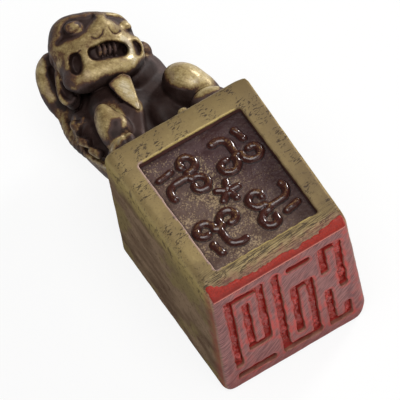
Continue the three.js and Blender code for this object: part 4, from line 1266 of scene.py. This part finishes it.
def groove_distance(flat, name):
    """Distance in the seal face's plane to one groove's outline."""
    first, last = fret_grid()
    corners = [first + (last - first) * np.array(cell) / LAST_CELL for cell in FRET[name]]
    bars = []
    for a, b in zip(corners, corners[1:]):
        low, high = np.minimum(a, b) - GROOVE_WIDTH / 2, np.maximum(a, b) + GROOVE_WIDTH / 2
        bars.append(rectangle_distance(flat, low, high, GROOVE_CORNER))
    return np.minimum.reduce(bars)


def flat_of(points):
    return points[..., [RIGHT, UP]]


def seal_points(points):
    """Points pressed flat on the seal face, for noise that is the same at every depth."""
    pressed = points.copy()
    pressed[..., ALONG] = SEAL_Y
    return pressed


def all_grooves(points):
    flat = flat_of(points)
    near = np.minimum.reduce([groove_distance(flat, name) for name in FRET])
    pressed = seal_points(points)
    ragged = 0.1 * noise(pressed, 0.9, 17.0) + 0.06 * noise(pressed, 0.35, 19.0)
    return soft_max(near + ragged, points[..., ALONG] - SEAL_Y - GROOVE_DEPTH, 0.15)


def make_block():
    margin = 0.6
    clay = Clay(BLOCK_LOW - margin, BLOCK_HIGH + margin, BLOCK_STEP)
    clay.distance = block_distance(clay.points()).astype(np.float32)
    clay.put(PLAQUE_LOW - (0, 0, 0.2), PLAQUE_HIGH + 1, panel_distance, 0.08, carve=True)
    groove_high = (BLOCK_HIGH[RIGHT], SEAL_Y + GROOVE_DEPTH, FRONT_Z)
    clay.put(BLOCK_LOW, groove_high, all_grooves, 0.1, carve=True)
    points, quads = clay.surface()
    normals = clay.normals(points)
    shade_openness = openness(clay, points, normals, OPEN_BLOCK)
    edge = sharpness(clay, points, normals, BLOCK_EDGE)
    dents = BLOCK_DENTS[0] * rough_noise(points, 3.2, 1.0) + BLOCK_DENTS[1] * noise(points, 0.6, 6.0)
    points = points + normals * dents[:, None]
    ground = PLAQUE_LOW[UP] + PLAQUE_THICKNESS
    z = points[:, UP]
    from_panel = panel_distance(points)
    in_panel = np.abs(from_panel) < RECESS_BAND
    recess = in_panel * smooth_step(FRONT_Z - 0.05, FRONT_Z - 0.3, z) * (z > ground - 1.0)
    marks = {
        # Openness for painted shade in the grooves, kept off the recess's walls
        "open": np.maximum(shade_openness, 0.6 * recess),
        "edge": edge,
        "recess": recess,
        # Where the rim's painted highlight and shade go
        "rim": in_panel * (np.abs(z - FRONT_Z) < RIM_HEIGHT) * (from_panel < RIM_WIDTH),
        "groove": all_grooves(points) < 0.2,
    }
    make_piece("brass_block", points, quads, block_finish(), "seal_block", marks)


# The plaque


def arc(middle, from_turn, to_turn, from_size, to_size, steps):
    points = []
    for step in range(steps + 1):
        share = step / steps
        angle = 2 * math.pi * (from_turn + (to_turn - from_turn) * share)
        size = from_size + (to_size - from_size) * share
        points.append((middle[0] + size * math.cos(angle), middle[1] + size * math.sin(angle)))
    return points


STROKE_WIDTH = 1.0
STROKE_HEIGHT = 0.75
STROKE_MARGIN = 0.3
# How far from its middle line a stroke comes down to the ground, as a share of its width
STROKE_FOOT = 0.58
FLOWER_RADIUS = 1.55
FLOWER_PETALS = 5


def cloud_scroll(reach):
    """Two curls that grow out of a stem, the stem's hooked tail, and a drop beside it."""
    neck = (0.0, 0.2)
    curl = [neck] + arc((0.6, 0.46), 0.55, -0.28, 0.46, 0.24, 18)
    other = [(-x, y) for x, y in curl]
    tail = [neck] + arc((0.46, -0.36), 0.5, 0.82, 0.46, 0.46, 10)
    drop = [(-0.62, -0.3), (-0.5, -0.85)]
    return [np.array(stroke) * reach for stroke in (curl, other, tail, drop)]


def plaque_strokes():
    low, high = PLAQUE_LOW[:2] - PANEL_CLEARANCE, PLAQUE_HIGH[:2] + PANEL_CLEARANCE
    middle = (low + high) / 2
    cell = (high - low) / 4
    reach = cell.min() - STROKE_MARGIN - STROKE_WIDTH / 2
    strokes = []
    for petal in range(FLOWER_PETALS):
        angle = petal / FLOWER_PETALS * 2 * math.pi
        tip = np.array((math.cos(angle), math.sin(angle))) * FLOWER_RADIUS
        strokes.append(np.array([tip * 0.3, tip]) + middle)
    for quarter, side in enumerate(((-1, -1), (1, -1), (1, 1), (-1, 1))):
        angle = quarter * math.pi / 2
        spin = np.array([[math.cos(angle), math.sin(angle)], [-math.sin(angle), math.cos(angle)]])
        for stroke in cloud_scroll(reach):
            strokes.append(stroke @ spin + middle + cell * side)
    return strokes


def plaque_form():
    """Where the plaque's upper points lie in its plane, their heights, and how far they are on a stroke."""
    low, high = PLAQUE_LOW, PLAQUE_HIGH
    counts = np.ceil((high[:2] - low[:2]) / PLAQUE_STEP).astype(int) + 1
    xs, ys = (np.linspace(low[axis], high[axis], counts[axis]) for axis in (RIGHT, ALONG))
    flat = np.stack(np.meshgrid(xs, ys, indexing="ij"), -1).astype(np.float32)
    ground = low[UP] + PLAQUE_THICKNESS
    place = np.concatenate([flat, np.full(flat.shape[:2] + (1,), ground, np.float32)], -1)
    wobble = 0.1 * noise(place, 0.8, 3.0)
    raised = np.zeros(flat.shape[:2], np.float32)
    for stroke in plaque_strokes():
        for a, b in zip(stroke, stroke[1:]):
            near = bar_distance(flat, a, b, 0.0, 0.0) + wobble
            share = np.clip(near / (STROKE_WIDTH * STROKE_FOOT), 0, 1)
            raised = np.maximum(raised, np.sqrt(1 - share**2.2))
    uneven = 0.86 + 0.14 * noise(place, 1.4, 8.0)
    grit = 0.05 * np.clip(noise(place, 0.3, 5.0) + 0.2, 0, 1) + 0.04 * noise(place, 0.9, 2.0)
    heights = ground + STROKE_HEIGHT * raised * uneven + grit * (1 - 0.7 * raised)
    return flat, np.minimum(heights, high[UP] + 0.1), raised


def plaque_mesh(flat, heights):
    """The upper surface, walls down to the underside, and an underside of quads round its middle."""
    low, high = PLAQUE_LOW, PLAQUE_HIGH
    top = np.concatenate([flat, heights[..., None]], -1).reshape(-1, 3)
    index = np.arange(heights.size).reshape(heights.shape)
    upper = np.stack([index[:-1, :-1], index[1:, :-1], index[1:, 1:], index[:-1, 1:]], -1).reshape(-1, 4)
    ring = np.concatenate([index[:, 0], index[-1, 1:], index[-2::-1, -1], index[0, -2:0:-1]])
    bottom = top[ring].copy()
    bottom[:, UP] = low[UP]
    under = len(top) + np.arange(len(ring))
    walls = np.stack([ring, under, np.roll(under, -1), np.roll(ring, -1)], -1)
    centre = np.array([[*((low[:2] + high[:2]) / 2), low[UP]]])
    hub = len(top) + len(ring)
    # Each quad of the underside takes two edges of the ring
    pairs = np.arange(0, len(ring) - 1, 2)
    hubs = np.full(len(pairs), hub)
    fan = np.stack([under[pairs], hubs, under[(pairs + 2) % len(ring)], under[pairs + 1]], -1)
    return np.concatenate([top, bottom, centre]), np.concatenate([upper, walls, fan])


def make_plaque():
    flat, heights, raised = plaque_form()
    points, faces = plaque_mesh(flat, heights)
    # Openness, for painted shade, from how far the ground lies under its neighbours, and less beside the
    # recess's walls
    blurred = heights.copy()
    for _ in range(6):
        padded = np.pad(blurred, 1, mode="edge")
        blurred = (padded[:-2, 1:-1] + padded[2:, 1:-1] + padded[1:-1, :-2] + padded[1:-1, 2:]) / 4
    from_wall = np.minimum(flat - PLAQUE_LOW[:2], PLAQUE_HIGH[:2] - flat).min(-1)
    shade_openness = np.clip(0.8 + (heights - blurred) * 6, 0, 1) * (0.45 + 0.55 * smooth_step(0, 0.9, from_wall))
    centre = np.float32((PLAQUE_LOW[:2] + PLAQUE_HIGH[:2]) / 2)
    middle = smooth_step(7.5, 1.5, np.linalg.norm(flat - centre, axis=-1))
    rest = np.zeros(len(points) - raised.size)
    marks = {
        name: np.concatenate([values.ravel(), rest])
        for name, values in (("stroke", raised), ("open", shade_openness), ("middle", middle))
    }
    make_piece("ornament_plaque", points, faces, plaque_finish(), "panel_plaque", marks)


# The paste


def paste_marks(clay, points):
    # Openness for the paste's painted shade, and sharpness for its painted edge highlight
    normals = clay.normals(points)
    shade_openness = openness(clay, points, normals, OPEN_PASTE)
    return {"open": shade_openness, "edge": sharpness(clay, points, normals, PASTE_EDGE)}


def make_groove_paste(name, finish):
    """Crumbly paste in a groove, heaped against its left wall and a little over its rim."""
    node = "paste_" + name
    low, high = box_mm(node)
    margin = np.array((0.7, 0.6, 0.7))
    clay = Clay(low - margin, high + margin, PASTE_STEP)
    points = clay.points()
    flat = flat_of(points)
    near = groove_distance(flat, name)
    shifted = flat + np.float32((0.3, 0.0))
    leftness = smooth_step(0.05, 0.5, near - groove_distance(shifted, name))
    pressed = seal_points(points)
    spread = 0.2 * noise(pressed, 0.75, 31.0) + 0.1 * noise(pressed, 0.3, 33.0)
    side = near - 0.06 - leftness * (0.1 + np.maximum(spread, 0) * 1.2) + 0.3 * spread * (1 - leftness)
    closeness = smooth_step(-0.45, 0.05, near)
    heap = PASTE_HEAP * closeness * leftness
    depth = PASTE_DEPTH + 0.32 * rough_noise(pressed, 1.0, 35.0) - heap
    top = SEAL_Y + depth + 0.06 * noise(points, 0.35, 37.0)
    shape = soft_max(side, top - points[..., ALONG], 0.12)
    clay.distance = np.maximum(shape, points[..., ALONG] - (SEAL_Y + GROOVE_DEPTH + 0.1)).astype(np.float32)
    points, quads = clay.surface()
    marks = paste_marks(clay, points)
    # More painted shade where the paste lies lower in its groove
    deep = smooth_step(0.75, 0.1, points[:, ALONG] - SEAL_Y)
    marks["open"] = marks["open"] * (0.3 + 0.7 * deep)
    make_piece("crust_" + name, points, quads, finish, node, marks)


# How far up the bevel the paste reaches, as a share of its slope, at places from left to right
BAND_X = (-11.3, -9.9, -8.2, -5.0, 3.0, 8.0, 11.3)
BAND_SHARE = (0.95, 0.85, 0.58, 0.48, 0.5, 0.7, 0.95)


def bevel_thinness(points):
    """From 0 where the layer on the bevel is full to 1 where it has run out on the brass."""
    _, along, length = bevel_frame(points)
    ragged = 0.3 * noise(points, 1.1, 41.0) + 0.2 * noise(points, 0.35, 43.0)
    top = length * np.interp(points[..., RIGHT], BAND_X, BAND_SHARE) + ragged
    return smooth_step(top - 0.5, top + 0.3, along)


def bevel_crust(points):
    """The layer on the bevel: a skin over the block, ragged where it runs out onto the brass."""
    skin = block_distance(points)
    _, along, _ = bevel_frame(points)
    x = points[..., RIGHT]
    ragged = 0.16 * noise(points, 0.35, 43.0)
    cover = smooth_step(-0.25, 0.1, along) * (1 - bevel_thinness(points))
    ends = smooth_step(BLOCK_HIGH[RIGHT] - 0.1, BLOCK_HIGH[RIGHT] - 1.0, np.abs(x) + 0.4 * ragged)
    thick = (CRUST_THICKNESS + CRUST_DROP) * cover * ends - CRUST_DROP
    thick = thick + 0.04 * noise(points, 0.5, 45.0) * cover
    return np.maximum(skin - thick, -(skin + CRUST_ROOT))


def make_bevel_paste(finish):
    low = np.array((BLOCK_LOW[0] - 0.5, SEAL_Y - 0.6, FRONT_Z - 3.2))
    high = np.array((BLOCK_HIGH[0] + 0.5, SEAL_Y + 5.0, FRONT_Z + 0.7))
    clay = Clay(low, high, PASTE_STEP)
    clay.distance = bevel_crust(clay.points()).astype(np.float32)
    points, quads = clay.surface()
    marks = paste_marks(clay, points)
    _, along, _ = bevel_frame(points)
    # Where the painted highlight along the bevel's edge at the seal face goes
    marks["ridge_highlight"] = smooth_step(0.2, 0.05, np.abs(along - 0.02))
    marks["thin"] = bevel_thinness(points)
    make_piece("crust_bevel", points, quads, finish, "paste_bevel", marks)


# Everything around the stamp


def dress_dowels():
    finish = dowel_finish()
    for side in ("left", "right"):
        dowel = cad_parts["knob_dowel_" + side]
        dowel.data.materials.clear()
        dowel.data.materials.append(finish)


def make_camera():
    look = Vector(line_of_sight())
    level = look.cross(Vector((0, 0, 1))).normalized()
    right = Matrix.Rotation(math.radians(CAMERA_ROLL), 3, look) @ level
    up = right.cross(look)
    place = Vector(CAMERA_AIM) * MM - look * CAMERA_DISTANCE * MM
    data = bpy.data.cameras.new("camera")
    data.lens = CAMERA_LENS
    data.sensor_width = CAMERA_SENSOR
    data.clip_start = 0.05
    data.clip_end = 20.0
    camera = bpy.data.objects.new("camera", data)
    basis = Matrix((right, up, -look)).transposed()
    camera.matrix_world = Matrix.Translation(place) @ basis.to_4x4()
    bpy.context.collection.objects.link(camera)
    bpy.context.scene.camera = camera


def make_lamp(name, direction, distance, size, power):
    data = bpy.data.lights.new(name, "AREA")
    data.shape = "DISK"
    data.size = size
    data.energy = power
    lamp = bpy.data.objects.new(name, data)
    toward = Vector(direction).normalized()
    lamp.location = toward * distance
    lamp.rotation_euler = toward.to_track_quat("Z", "Y").to_euler()
    bpy.context.collection.objects.link(lamp)


def background_level(tree, unseen, seen_level):
    """One level for the light on the object, another for what the camera sees, also in reflections."""
    path = tree.nodes.new("ShaderNodeLightPath")
    seen = path.outputs["Is Camera Ray"]
    for kind in ("Is Glossy Ray", "Is Transmission Ray"):
        either = tree.nodes.new("ShaderNodeMath")
        either.operation = "MAXIMUM"
        tree.links.new(seen, either.inputs[0])
        tree.links.new(path.outputs[kind], either.inputs[1])
        seen = either.outputs[0]
    level = tree.nodes.new("ShaderNodeMapRange")
    level.inputs["To Min"].default_value = unseen
    level.inputs["To Max"].default_value = seen_level
    tree.links.new(seen, level.inputs["Value"])
    return level.outputs[0]


def make_floor():
    half = 1.5
    corners = [(x * half, y * half, 0) for x, y in ((-1, -1), (1, -1), (1, 1), (-1, 1))]
    mesh = bpy.data.meshes.new("floor")
    mesh.from_pydata(corners, [], [(0, 1, 2, 3)])
    material = bpy.data.materials.new("pale_floor")
    material.use_nodes = True
    tree = material.node_tree
    shader = tree.nodes["Principled BSDF"]
    shader.inputs["Base Color"].default_value = (0.86, 0.86, 0.85, 1)
    shader.inputs["Roughness"].default_value = 0.9
    white = tree.nodes.new("ShaderNodeEmission")
    mix = tree.nodes.new("ShaderNodeMixShader")
    tree.links.new(background_level(tree, 0.0, FLOOR_WHITE), mix.inputs[0])
    tree.links.new(shader.outputs[0], mix.inputs[1])
    tree.links.new(white.outputs[0], mix.inputs[2])
    tree.links.new(mix.outputs[0], tree.nodes["Material Output"].inputs[0])
    mesh.materials.append(material)
    floor = bpy.data.objects.new("floor", mesh)
    bpy.context.collection.objects.link(floor)


def make_world():
    """Soft grey light on the object, and white for what the camera and reflections see."""
    world = bpy.data.worlds.new("studio")
    world.use_nodes = True
    tree = world.node_tree
    strength = tree.nodes["Background"].inputs["Strength"]
    tree.links.new(background_level(tree, WORLD_LIGHT, 1.0), strength)
    bpy.context.scene.world = world


make_camera()
make_world()
for lamp in LAMPS:
    make_lamp(*lamp)
make_floor()
make_lion()
make_block()
make_plaque()
red_paste = paste_finish()
make_bevel_paste(red_paste)
for groove in FRET:
    if groove != "top_bar":
        make_groove_paste(groove, red_paste)
dress_dowels()

bpy.context.scene.view_settings.view_transform = "Standard"
